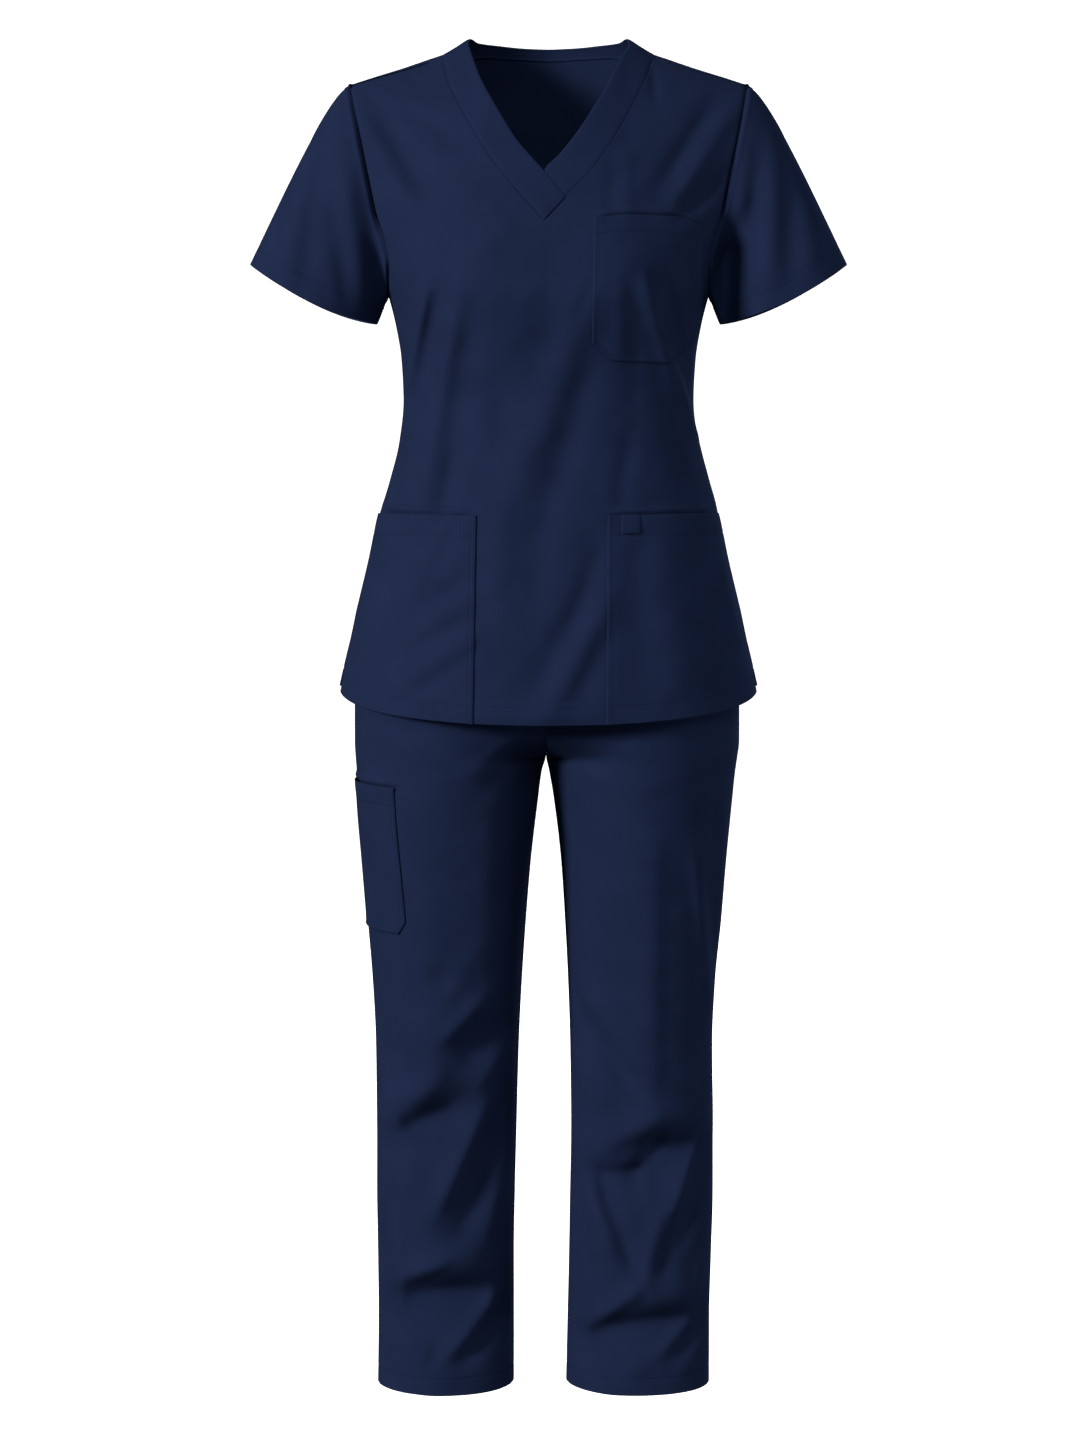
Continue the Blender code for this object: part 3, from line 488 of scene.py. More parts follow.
def follow(table, at, name):
    """Smooth value of a named column of a table at the given values of its first column."""
    names = table[0]
    rows = np.array(table[1:], dtype=float)
    rows = rows[np.argsort(rows[:, 0])]
    key = rows[:, 0]
    value = rows[:, names.index(name)]
    step = np.diff(key)
    rate = np.diff(value) / step
    slope = np.zeros_like(value)
    slope[0] = rate[0]
    slope[-1] = rate[-1]
    for index in range(1, len(key) - 1):
        if rate[index - 1] * rate[index] > 0:
            ahead = 2 * step[index] + step[index - 1]
            behind = step[index] + 2 * step[index - 1]
            slope[index] = (ahead + behind) / (ahead / rate[index - 1] + behind / rate[index])
    at = np.clip(np.asarray(at, dtype=float), key[0], key[-1])
    cell = np.clip(np.searchsorted(key, at) - 1, 0, len(key) - 2)
    part = (at - key[cell]) / step[cell]
    start = (1 + 2 * part) * (1 - part) ** 2 * value[cell]
    start_slope = part * (1 - part) ** 2 * step[cell] * slope[cell]
    end = part ** 2 * (3 - 2 * part) * value[cell + 1]
    end_slope = part ** 2 * (part - 1) * step[cell] * slope[cell + 1]
    return start + start_slope + end + end_slope


def sizes(table, at, *names):
    """Plain values of some columns of a table at one value of its first column."""
    return [float(follow(table, at, name)) for name in names]


def fold_rise(folds, across, height):
    """How far a set of folds lifts the cloth at given places, negative in a trough."""
    rise = np.zeros(np.broadcast(across, height).shape)
    for fold in folds:
        value = {"bow": 0, "lean": 0, **dict(zip(FOLD_COLUMNS, fold))}
        run_across = value["to_across"] - value["from_across"]
        run_height = value["to_height"] - value["from_height"]
        length = math.hypot(run_across, run_height)
        off_across = across - value["from_across"]
        off_height = height - value["from_height"]
        travel = (off_across * run_across + off_height * run_height) / length
        along = np.clip(travel / length, 0, 1)
        past = travel - along * length
        aside = (off_height * run_across - off_across * run_height) / length
        aside = aside - value["bow"] * 4 * along * (1 - along)
        width = value["half_width"] * (1 + value["lean"] * np.sign(aside))
        strength = 1 - 0.5 * (2 * along - 1) ** 4
        fading = past / (FOLD_END_LENGTH * value["half_width"])
        rise = rise + value["rise"] * strength * np.exp(-(aside / width) ** 2 - fading ** 2)
    return rise


def unevenness(across, height, seed):
    """Slight swells of worn cloth, the same each time for the same seed."""
    source = np.random.default_rng(seed)
    total = np.zeros(np.broadcast(across, height).shape)
    for size in (95, 70, 52, 40, 31, 24):
        for _ in range(3):
            way = source.uniform(0, math.pi)
            phase = source.uniform(0, 2 * math.pi)
            wave = 2 * math.pi / (size * source.uniform(0.85, 1.15))
            total += size * 0.0026 * np.sin(wave * (across * math.cos(way) + height * math.sin(way)) + phase)
    return total


def section_share(across, height):
    """How much of the full depth the top's section has at a distance across."""
    ratio = np.clip(np.abs(across) / follow(TORSO, height, "half_width"), 0, 1)
    return np.sqrt(1 - ratio ** SECTION_POWER)


def front_y(across, height):
    """Front surface of the top."""
    ridge = follow(RIDGE, np.abs(across), "height")
    fallen = np.clip((ridge - height) / (FRONT_SLOPE + ridge), 0, 1)
    shoulder = (1 - (1 - fallen) ** FRONT_SLOPE_POWER) ** (1 / FRONT_SLOPE_POWER)
    bust_across = (np.abs(across) - BUST_ACROSS) / BUST_HALF_WIDTH
    bust = np.exp(-bust_across ** 2 - ((height - BUST_HEIGHT) / BUST_HALF_HEIGHT) ** 2)
    share = section_share(across, height)
    depth = follow(TORSO, height, "front_depth") * shoulder + BUST_RISE * bust
    away = np.clip((ridge - height) / 30, 0, 1)
    depth = (depth + away * unevenness(across, height, 3)) * share
    return -depth - fold_rise(FRONT_FOLDS, across, height) * share ** FOLD_FADE


def back_y(across, height):
    """Back surface of the top."""
    ridge = follow(RIDGE, np.abs(across), "height")
    fallen = np.clip((ridge - height) / (BACK_SLOPE + ridge), 0, 1)
    shoulder = (1 - (1 - fallen) ** 2) ** (1 / 1.6)
    share = section_share(across, height)
    away = np.clip((ridge - height) / 30, 0, 1)
    depth = (follow(TORSO, height, "back_depth") * shoulder + away * unevenness(across, height, 4)) * share
    return depth + fold_rise(BACK_FOLDS, across, height) * share ** FOLD_FADE


def lay(across, height, surface):
    """Points on a surface of the top."""
    return np.stack([across, surface(across, height), height], axis=-1)


def clustered(start, end, step, fine_from_start, fine_from_end):
    """Values from start to end, a step apart, with closer ones at the given distances from each end."""
    length = abs(end - start)
    values = list(fine_from_start) + [length - value for value in fine_from_end]
    low = max(fine_from_start) if len(fine_from_start) else 0
    high = length - (max(fine_from_end) if len(fine_from_end) else 0)
    count = max(1, int(round((high - low) / step)))
    values += list(np.linspace(low, high, count + 1))
    values = np.unique(np.round(np.array(values + [0, length]), 4))
    return start + np.sign(end - start) * values


def shares_along(length, step, fine_from_start, fine_from_end):
    """Shares of a length from 0 to 1, a step apart, with closer ones near its two ends."""
    return clustered(0, 1, step / length, fine_from_start / length, fine_from_end / length)


def half_place(side, level, share, front):
    """Where a half panel of the top lies: across and height; a level is a side height or a station."""
    if level < 0:
        dip = HEM_DIP if front else BACK_HEM_DIP
        drop = dip * max(0, 1 - (level - HEM_HEIGHT) / HEM_DIP_FADE) ** 2
        half_width = float(follow(TORSO, level, "half_width"))
        across = CENTRE_ACROSS + (side * half_width - CENTRE_ACROSS) * np.sin(share * math.pi / 2)
        return across, level - drop * (1 - share ** 2)
    name = "right" if side < 0 else "left"
    if front and level < 3:
        inner_across, inner_height = sizes(FRONT_CENTRE, level, "across", "height")
    elif front:
        inner_across, inner_height = sizes(FRONT_NECK, level, name + "_across", name + "_height")
    elif level < 5:
        inner_across = CENTRE_ACROSS * (1 - level / 5)
        inner_height = float(follow(BACK_CENTRE, level, "height"))
    else:
        inner_across, inner_height = sizes(BACK_NECK, level, "seam_across", "seam_height")
        inner_across *= side
    roundness = max(0.0, 1 - level / 4)
    spread = (1 - roundness) * share + roundness * np.sin(share * math.pi / 2)
    outer_across, outer_height = sizes(ARMHOLE, level, "across", "height")
    across = inner_across + (side * outer_across - inner_across) * spread
    height = inner_height + (outer_height - inner_height) * share
    near_shoulder = max(0.0, level - 8)
    if near_shoulder > 0:
        seam = follow(RIDGE, np.abs(across), "height")
        if front:
            seam = seam - follow(RIDGE, np.abs(across), "seam_drop")
        height = height + (seam - height) * near_shoulder ** 2
    return across, height


def half_grid(side, levels, shares, front):
    """Grid of points of one half of the front or back panel."""
    surface = front_y if front else back_y
    across = np.zeros((len(levels), len(shares)))
    height = np.zeros_like(across)
    for row, level in enumerate(levels):
        across[row], height[row] = half_place(side, level, shares, front)
    grid = lay(across, height, surface)
    if not front:
        for row, level in enumerate(levels):
            opened = min(1.0, (VENT_TOP - level) / (VENT_TOP - HEM_HEIGHT)) if level < VENT_TOP else 0.0
            near_side = shares ** 6
            grid[row, :, 0] += side * 0.3 * VENT_SPREAD * opened * near_side
            grid[row, :, 1] += VENT_SPREAD * opened * near_side
    return grid


def over_the_ridge(side, shares, steps):
    """Rows of the back panel from just past the ridge of the shoulder to the seam in front of it."""
    across = SHOULDER_INNER + (SHOULDER_OUTER - SHOULDER_INNER) * shares
    rows = []
    for step in steps:
        height = follow(RIDGE, across, "height") - step ** 2 * follow(RIDGE, across, "seam_drop")
        rows.append(lay(side * across, height, front_y))
    return np.array(rows)


def travelled(grid, axis, backward=False):
    """Distance along a grid's rows or columns from one edge."""
    if backward:
        grid = np.flip(grid, axis)
    steps = np.linalg.norm(np.diff(grid, axis=axis), axis=-1)
    total = np.cumsum(steps, axis=axis)
    zero = np.zeros_like(np.take(total, [0], axis=axis))
    total = np.concatenate([zero, total], axis=axis)
    return np.flip(total, axis) if backward else total


def swell_by(distance, rise, width):
    """Rise of the cloth at a distance from a line, most on the line itself."""
    return rise * np.exp(-(distance / width) ** 2)


def from_edges(grid):
    """Distances from both side edges and from the foot of a pocket's grid."""
    return travelled(grid, 1), travelled(grid, 1, backward=True), travelled(grid, 0, backward=True)


def seam_dip(distance):
    """How far cloth is drawn down at a distance from its seam."""
    return swell_by(distance, -SEAM_DIP, SEAM_DIP_WIDTH)


def armhole_dip(distance):
    """How far cloth is drawn down at a distance from the armhole, where the sleeve is set in."""
    return swell_by(distance, -ARMHOLE_DIP, ARMHOLE_DIP_WIDTH)


def stitch_dip(distance):
    """How far cloth is drawn down at a distance from a line of stitches."""
    return swell_by(distance, -STITCH_DIP, STITCH_DIP_WIDTH)


def edge_dip(distance):
    """How far a band or a patch is rounded down at a distance from its folded edge."""
    return swell_by(distance, -EDGE_DIP, EDGE_DIP_WIDTH)


def sewn_edge(distance, rise, width):
    """Rise of a pocket near a sewn edge: rounded down on the edge, then its stitches and a swell."""
    return stitch_dip(distance - EDGE_STITCH_DIP_AT) + edge_dip(distance) + swell_by(distance, rise, width)


def mouth_gape(spreads, from_mouth, rise, reach):
    """How far a pocket stands out at its mouth, most in the middle."""
    return rise * (np.sin(math.pi * np.clip(spreads, 0, 1))[None, :] * swell_by(from_mouth, 1, reach))


def doubled_share(distance):
    """How much of the cloth is doubled at a distance past its stitches: all before them, none after."""
    return 1 / (1 + np.exp(np.minimum(distance / DOUBLED_EDGE_WIDTH, 60)))


def hem_thickness(from_hem, stitch_from_hem):
    """Thickness of cloth that is doubled up to the stitches of its hem."""
    return CLOTH + (HEM_CLOTH - CLOTH) * doubled_share(from_hem - stitch_from_hem)


def unit(vectors):
    """Vectors brought to length one."""
    return vectors / np.maximum(np.linalg.norm(vectors, axis=-1, keepdims=True), 1e-12)


def weld(patches, centre_line):
    """One sheet from patches of a grid with its rise and thickness, joined where points are shared."""
    points = []
    faces = []
    extras = []
    count = 0
    for grid, rise, thick in patches:
        rows, columns = grid.shape[:2]
        places = np.stack([travelled(grid, 1), travelled(grid, 0)], axis=-1)
        if grid[rows // 2, -1, 0] < grid[rows // 2, 0, 0]:
            places[..., 0] *= -1
        numbers = count + np.arange(rows * columns).reshape(rows, columns)
        corner = [numbers[:-1, :-1], numbers[:-1, 1:], numbers[1:, 1:], numbers[1:, :-1]]
        faces.append(np.stack([side.ravel() for side in corner], axis=1))
        points.append(grid.reshape(-1, 3))
        rise = np.broadcast_to(rise, (rows, columns)).reshape(-1, 1)
        thick = np.broadcast_to(thick, (rows, columns)).reshape(-1, 1)
        extras.append(np.concatenate([places.reshape(-1, 2), rise, thick], axis=1))
        corners = grid.reshape(-1, 3)[faces[-1] - count]
        count += rows * columns
        middle = corners.mean(axis=1)
        area = np.cross(corners[:, 2] - corners[:, 0], corners[:, 3] - corners[:, 1])
        if np.sum(area * (middle - centre_line(middle))) < 0:
            faces[-1] = faces[-1][:, ::-1]
    points = np.concatenate(points)
    faces = np.concatenate(faces)
    extras = np.concatenate(extras)
    keys = np.round(points * 500).astype(np.int64)
    _, first, index = np.unique(keys, axis=0, return_index=True, return_inverse=True)
    index = index.reshape(-1)
    return points[first], index[faces], extras[first]


def point_normals(points, faces):
    """Area-weighted normal of each point."""
    corners = points[faces]
    area = np.cross(corners[:, 2] - corners[:, 0], corners[:, 3] - corners[:, 1])
    normals = np.zeros_like(points)
    for corner in range(4):
        np.add.at(normals, faces[:, corner], area)
    return unit(normals)


def rim_edges(faces):
    """Directed edges that belong to one face only."""
    edges = np.concatenate([faces[:, [0, 1]], faces[:, [1, 2]], faces[:, [2, 3]], faces[:, [3, 0]]])
    edges = edges[edges[:, 0] != edges[:, 1]]
    sorted_edges = np.sort(edges, axis=1)
    _, first, counts = np.unique(sorted_edges, axis=0, return_index=True, return_counts=True)
    return edges[first[counts == 1]]


def cloth(name, sheet, lift, rim, look, node):
    """Thin closed shell of one piece of cloth: outer face, inner face and a rounded rim."""
    points, faces, extras = sheet
    material, slot = look
    normals = point_normals(points, faces)
    outer = points + normals * (lift + extras[:, 2:3])
    inner = outer - normals * extras[:, 3:4]
    rims = rim_edges(faces)
    along = unit(outer[rims[:, 1]] - outer[rims[:, 0]])
    outward = np.zeros_like(points)
    for end in range(2):
        np.add.at(outward, rims[:, end], np.cross(along, normals[rims[:, end]]))
    outward = unit(outward)
    edge_points = np.unique(rims)
    number = np.zeros(len(points), dtype=np.int64)
    number[edge_points] = np.arange(len(edge_points))
    middle = (outer + inner) / 2 + outward * extras[:, 3:4] * rim
    count = len(points)
    start, end = rims[:, 0], rims[:, 1]
    start_middle, end_middle = 2 * count + number[start], 2 * count + number[end]
    strips = [
        np.stack([end, start, start_middle, end_middle], axis=1),
        np.stack([end_middle, start_middle, start + count, end + count], axis=1),
    ]
    vertices = np.vstack([outer, inner, middle[edge_points]]) * MILLIMETRE
    polygons = np.vstack([faces, faces[:, ::-1] + count] + strips)
    places = np.vstack([extras[:, :2], extras[:, :2], extras[edge_points, :2]])
    mesh = bpy.data.meshes.new(name)
    mesh.from_pydata(vertices.tolist(), [], polygons.tolist())
    mesh.validate()
    mesh.update()
    mesh.shade_smooth()
    layer = mesh.uv_layers.new(name="Cloth")
    loops = np.zeros(len(mesh.loops), dtype=np.int32)
    mesh.loops.foreach_get("vertex_index", loops)
    layer.data.foreach_set("uv", (places[loops] * MILLIMETRE).ravel())
    mesh.materials.append(material)
    thing = bpy.data.objects.new(name, mesh)
    bpy.context.collection.objects.link(thing)
    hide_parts(node)
    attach(thing, "root")
    return thing


def torso_middle(points):
    """Middle of the top level with the points."""
    return points * (0, 0, 1)


def leg_middle(side):
    """Middle line of one trouser leg."""
    def middle(points):
        return points * (0, 0, 1) + (side * LEG_MIDDLE, 0, 4)
    return middle


def sleeve_middle(side):
    """Middle line of one sleeve."""
    def middle(points):
        height = points[:, 2]
        return np.stack([side * (172 - 0.3 * height), 0 * height, height - 4], axis=1)
    return middle


FINE_EDGE = np.array([0, 0.5, 1.1, 1.9, 3.0, 4.6, 7.0])
PANEL_SHARES = shares_along(225, 4.0, FINE_EDGE, FINE_EDGE)
FINE_STITCH = np.array([-2.2, -1.1, -0.5, 0, 0.5, 1.1, 2.2])


def with_rows(values, extra, gap):
    """Values together with extra ones, without those that lie within a gap of an extra one."""
    apart = np.min(np.abs(values[:, None] - extra[None]), axis=1) > gap
    return np.sort(np.concatenate([values[apart], extra]))


def up_to_shoulder(rows, close_rows):
    """Stations from the armpit, even up to 8 and closer and closer up to the shoulder seam at 9."""
    return np.concatenate([np.linspace(0, 8, rows), 9 - np.linspace(1, 0, close_rows)[1:] ** 2])


def panel_levels(front):
    """Side heights and stations of a panel's rows, closer at the hem, its stitches and the shoulder."""
    low = clustered(HEM_HEIGHT, ARMPIT_HEIGHT, 4.0, FINE_EDGE, [])
    low = with_rows(low, HEM_HEIGHT + TOP_STITCH_FROM_HEM + FINE_STITCH, 0.4)
    if front:
        close = np.arange(POCKET_MOUTH_HEIGHT - 9, POCKET_MOUTH_HEIGHT + 9, 1.2)
        low = np.sort(np.append(low[np.abs(low - POCKET_MOUTH_HEIGHT) > 9], close))
        high = np.append(up_to_shoulder(113, 22)[1:], 3.0)
    else:
        high = np.append(up_to_shoulder(61, 30)[1:], 5.0)
    return np.concatenate([low, np.unique(np.round(high, 5))])


def hem_dress(levels, grid, stitch_from_hem):
    """Rise and thickness of a hem: doubled cloth below a line of stitches."""
    from_hem = levels - levels[0]
    rise = stitch_dip(from_hem - stitch_from_hem)
    thick = hem_thickness(from_hem, stitch_from_hem)
    shape = grid.shape[:2]
    return np.broadcast_to(rise[:, None], shape).copy(), np.broadcast_to(thick[:, None], shape).copy()


# Mouths of the pockets on the front: the line of each one's edge
RIGHT_MOUTH = [("across", "height"), (-166, -461.5), (-70, -463.5)]
LEFT_MOUTH = [("across", "height"), (57, -463.5), (160, -461.5)]
CHEST_MOUTH = [("across", "height"), (44, -181), (80, -178), (118, -178), (151, -186)]


def vent_pull(grid, side):
    """Grid with its outer edge drawn in a little beside the side vent, so that the back panel shows."""
    drop = np.clip((VENT_TOP - grid[:, -1:, 2]) / (VENT_TOP - HEM_HEIGHT), 0, 1)
    pulled = grid.copy()
    pulled[..., 0] -= side * VENT_PULL * drop * np.exp(-(travelled(grid, 1, backward=True) / 14) ** 2)
    return pulled


def roll_over(above, roll):
    """Rise of the cloth at heights above a pocket's mouth: it rolls over and falls back behind the mouth."""
    dip = swell_by(above + MOUTH_DIP_BELOW, MOUTH_DIP, MOUTH_WIDTH)
    return swell_by(above - MOUTH_ROLL_ABOVE, roll, MOUTH_WIDTH) - dip


def mouth_roll(grid):
    """Rise of the front panel beside the mouths of its three pockets."""
    across = grid[..., 0]
    rise = np.zeros(across.shape)
    for mouth in (RIGHT_MOUTH, LEFT_MOUTH, CHEST_MOUTH):
        start, end = mouth[1][0], mouth[-1][0]
        inside = np.clip((across - start) / MOUTH_END, 0, 1) * np.clip((end - across) / MOUTH_END, 0, 1)
        above = grid[..., 2] - follow(mouth, np.clip(across, start, end), "height")
        rise += inside * roll_over(above, MOUTH_ROLL)
    return rise


def top_sheet(front):
    """Sheet of the front or back panel of the top."""
    levels = panel_levels(front)
    numbers = np.where(levels < 0, levels, 0)
    patches = []
    for side in (-1, 1):
        grid = half_grid(side, levels, PANEL_SHARES, front)
        if front:
            grid = vent_pull(grid, side)
        else:
            grid = np.concatenate([grid, over_the_ridge(side, PANEL_SHARES, (0.3, 0.55, 0.75, 0.9, 1.0))])
        padded_levels = np.concatenate([numbers, np.zeros(len(grid) - len(numbers))])
        rise, thick = hem_dress(padded_levels, grid, TOP_STITCH_FROM_HEM)
        from_side = travelled(grid, 1, backward=True)
        in_armhole = (padded_levels >= 0)[:, None] & (np.arange(len(grid)) >= np.argmax(levels >= 0))[:, None]
        rise += np.where(in_armhole, armhole_dip(from_side), seam_dip(from_side))
        rise += seam_dip(travelled(grid, 0, backward=True))
        if front:
            rise += mouth_roll(grid) + fold_rise(SIDE_CREASES, grid[..., 0], grid[..., 2])
        first = int(np.argmax(levels >= (3 if front else 5)))
        rise[first:] += seam_dip(travelled(grid, 1)[first:])
        patches.append((grid, rise, thick))
    return weld(patches, torso_middle)


def band_grid(side, stations, shares):
    """Front neckband of one side: rows down the band, from its seam to its open edge."""
    name = "right" if side < 0 else "left"
    rows = []
    for station in stations:
        seam_across, seam_height = sizes(FRONT_NECK, station, name + "_across", name + "_height")
        edge_across, edge_height = sizes(BAND_EDGE, station, name + "_across", name + "_height")
        near = max(0.0, station - 8) ** 2
        seam_line = follow(RIDGE, abs(seam_across), "height") - follow(RIDGE, abs(seam_across), "seam_drop")
        seam_height += (float(seam_line) - seam_height) * near
        across = seam_across + (edge_across - seam_across) * shares
        height = seam_height + (edge_height - seam_height) * shares
        rows.append(lay(across, height, front_y))
    return np.array(rows)


BAND_SHARES = shares_along(30, 2.6, FINE_EDGE[:5], FINE_EDGE[:4])


def front_band_sheet(side):
    """Sheet of a front neckband; the wearer's right one lies on top at the point of the V."""
    first = 3.0 if side < 0 else 3.9
    stations = np.concatenate([
        clustered(first, 8, 0.11, [0.02, 0.05, 0.09], []),
        9 - np.linspace(1, 0, 20)[1:] ** 2,
    ])
    grid = band_grid(side, stations, BAND_SHARES)
    rise = seam_dip(travelled(grid, 1)) + seam_dip(travelled(grid, 0, backward=True))
    rise += edge_dip(travelled(grid, 1, backward=True))
    over = np.clip((4.6 - stations) / 0.8, 0, 1)[:, None] if side < 0 else 0.0
    rise = rise + 1.0 * over * over * (3 - 2 * over)
    return weld([(grid, rise, BAND_CLOTH)], torso_middle)


def back_band_sheet():
    """Sheet of the band across the back of the neck, seam to seam over both shoulder ridges."""
    halves = []
    for side in (-1, 1):
        rows = []
        for step in (1.0, 0.85, 0.65, 0.45, 0.25):
            seam_across, edge_across = sizes(BACK_NECK, 9, "seam_across", "edge_across")
            across = seam_across + (edge_across - seam_across) * BAND_SHARES
            front_row = band_grid(side, [9.0], BAND_SHARES)[0]
            top = follow(RIDGE, across, "height")
            height = top + (front_row[:, 2] - top) * step ** 2
            across = across + (np.abs(front_row[:, 0]) - across) * step
            rows.append(lay(side * across, height, front_y))
        stations = np.concatenate([9 - np.linspace(0, 1, 22) ** 2, np.linspace(8, 5, 34)[1:]])
        for station in stations:
            seam_across, edge_across = sizes(BACK_NECK, station, "seam_across", "edge_across")
            seam_height, edge_height = sizes(BACK_NECK, station, "seam_height", "edge_height")
            across = seam_across + (edge_across - seam_across) * BAND_SHARES
            height = seam_height + (edge_height - seam_height) * BAND_SHARES
            near = max(0.0, station - 8) ** 2
            height = height + (follow(RIDGE, across, "height") - height) * near
            rows.append(lay(side * across, height, back_y))
        halves.append(rows)
    grid = np.array(halves[0] + halves[1][-2::-1])
    rise = seam_dip(travelled(grid, 1)) + seam_dip(travelled(grid, 0))
    rise += seam_dip(travelled(grid, 0, backward=True)) + edge_dip(travelled(grid, 1, backward=True))
    return weld([(grid, rise, BAND_CLOTH)], torso_middle)


def sleeve_grid(side, parts):
    """Sleeve tube: from the armhole, which is the panels' own edge, to the hem oval."""
    levels = [ARMPIT_HEIGHT] + list(up_to_shoulder(41, 16)[1:])
    whole = np.array([1.0])
    front_edge = half_grid(side, levels, whole, True)[:, 0]
    back_edge = half_grid(side, levels, whole, False)[:, 0]
    ring = np.concatenate([front_edge, back_edge[:0:-1]])
    top = len(front_edge) - 1
    lengths = np.linalg.norm(np.diff(np.vstack([ring, ring[:1]]), axis=0), axis=1)
    walked = np.concatenate([[0], np.cumsum(lengths)])
    behind = np.arange(len(ring)) > top
    from_end = (walked[-1] - walked[:-1]) / (walked[-1] - walked[top])
    fraction = np.where(behind, from_end, walked[:-1] / walked[top])
    facing = np.where(behind, 1.0, -1.0)
    outer = np.array(SLEEVE_HEM_OUTER)
    inner = np.array(SLEEVE_HEM_INNER)
    middle = (outer + inner) / 2
    turn = math.pi * (1 - fraction)
    hem = middle + np.outer(np.cos(turn), outer - middle)
    hem[:, 1] += facing * SLEEVE_HEM_HALF_DEPTH * np.sin(turn)
    hem[:, 2] -= SLEEVE_HEM_DIP * np.sin(turn) ** 2
    hem[:, 0] *= side
    start = np.stack([
        side * follow(SLEEVE_START, fraction, "outward"),
        facing * follow(SLEEVE_START, fraction, "forward"),
        follow(SLEEVE_START, fraction, "up"),
    ], axis=1)
    run = np.array(SLEEVE_RUN) * (side, 1, 1)
    length = np.linalg.norm(hem - ring, axis=1)[:, None]
    front_folds = RIGHT_SLEEVE_FRONT_FOLDS if side < 0 else LEFT_SLEEVE_FRONT_FOLDS
    back_folds = RIGHT_SLEEVE_BACK_FOLDS if side < 0 else LEFT_SLEEVE_BACK_FOLDS
    rows = []
    for part in parts:
        from_ring = (1 + 2 * part) * (1 - part) ** 2 * ring
        leaving = part * (1 - part) ** 2 * 0.33 * length * start
        to_hem = part ** 2 * (3 - 2 * part) * hem
        arriving = part ** 2 * (part - 1) * length * run
        row = from_ring + leaving + to_hem + arriving
        swell = unevenness(row[:, 0], row[:, 2], 5 + side)
        front_rise = fold_rise(front_folds, row[:, 0], row[:, 2]) + swell
        back_rise = fold_rise(back_folds, row[:, 0], row[:, 2]) - swell
        rise = np.where(behind, back_rise, front_rise)
        row[:, 1] += facing * rise * np.sin(turn) * min(1.0, 3 * part)
        rows.append(row)
    grid = np.array(rows)
    return np.concatenate([grid, grid[:, :1]], axis=1)


def sleeve_sheet(side):
    """Sheet of one sleeve."""
    stitched = 1 - (SLEEVE_STITCH_FROM_HEM + FINE_STITCH) / 150
    parts = shares_along(150, 3.6, FINE_EDGE, FINE_EDGE[:5])
    grid = sleeve_grid(side, with_rows(parts, stitched, 0.0025))
    from_hem = travelled(grid, 0, backward=True)
    rise = stitch_dip(from_hem - SLEEVE_STITCH_FROM_HEM)
    from_armhole = travelled(grid, 0)
    rise += armhole_dip(from_armhole)
    rise += swell_by(from_armhole - SLEEVE_EDGE_RISE_AT, SLEEVE_EDGE_RISE, SLEEVE_EDGE_RISE_WIDTH)
    thick = hem_thickness(from_hem, SLEEVE_STITCH_FROM_HEM)
    return weld([(grid, rise, thick)], sleeve_middle(side)), grid


def leg_points(side, row, turns):
    """Points of a leg: turn 0 at the inner seam in front, 1 front, 2 side, 3 back, 4 inner."""
    name = "right" if side < 0 else "left"
    columns = LEG_ROWS[0][1:]
    value = dict(zip(columns, sizes(LEG_ROWS, row, *columns)))
    turns = np.asarray(turns, dtype=float)
    if row >= CROTCH_ROW:
        turns = turns % 4
    outer, inner = sizes(LEG_OUTLINE, value["side_height"], name + "_side", name + "_inner")
    front_inner, = sizes(LEG_OUTLINE, value["front_seam_height"], name + "_inner")
    back_inner, = sizes(LEG_OUTLINE, value["back_seam_height"], name + "_inner")
    middle = (outer + inner) / 2
    angle = math.radians(value["seam_turn"])
    tilt = math.hypot(1, value["slope"])
    keys = np.array([
        (front_inner, -value["front_seam_depth"]),
        (middle, -value["front_depth"]),
        (outer, 0.0),
        (middle, value["back_depth"]),
        (back_inner, value["back_seam_depth"]),
    ])
    ways = np.array([
        (side * math.cos(angle), -math.sin(angle)),
        (side / tilt, value["slope"] / tilt),
        (0.0, 1.0),
        (-side / tilt, value["slope"] / tilt),
        (-side * math.cos(angle), -math.sin(angle)),
    ])
    quarter = np.minimum(3, turns.astype(int))
    part = (turns - quarter)[:, None]
    start, end = keys[quarter], keys[quarter + 1]
    leaving, arriving = ways[quarter], ways[quarter + 1]
    span = end - start
    bend = np.maximum(0.0, np.sum(leaving * arriving, axis=1, keepdims=True))
    reach = 1 / 3 + 0.219 * (1 - bend)
    first = start + leaving * reach * np.sum(span * leaving, axis=1, keepdims=True)
    last = end - arriving * reach * np.sum(span * arriving, axis=1, keepdims=True)
    rest = 1 - part
    plan = rest ** 3 * start + 3 * rest ** 2 * part * first + 3 * rest * part ** 2 * last + part ** 3 * end
    near = np.minimum(1.0, np.minimum(turns, 4 - turns))
    weight = (1 - near) ** 2 * (1 + 2 * near)
    seam_height = np.where(turns < 2, value["front_seam_height"], value["back_seam_height"])
    height = value["side_height"] + (seam_height - value["side_height"]) * weight
    swell = unevenness(plan[:, 0], height, 9)
    front_rise = fold_rise(LEG_FRONT_FOLDS, plan[:, 0], height) + swell
    back_rise = fold_rise(LEG_BACK_FOLDS, plan[:, 0], height) - swell
    facing = np.sin(math.pi * turns / 2)
    facing = np.sign(facing) * np.abs(facing) ** LEG_FOLD_FADE
    depth = plan[:, 1] - facing * np.where(turns < 2, front_rise, back_rise)
    return np.stack([plan[:, 0], depth, height], axis=1)


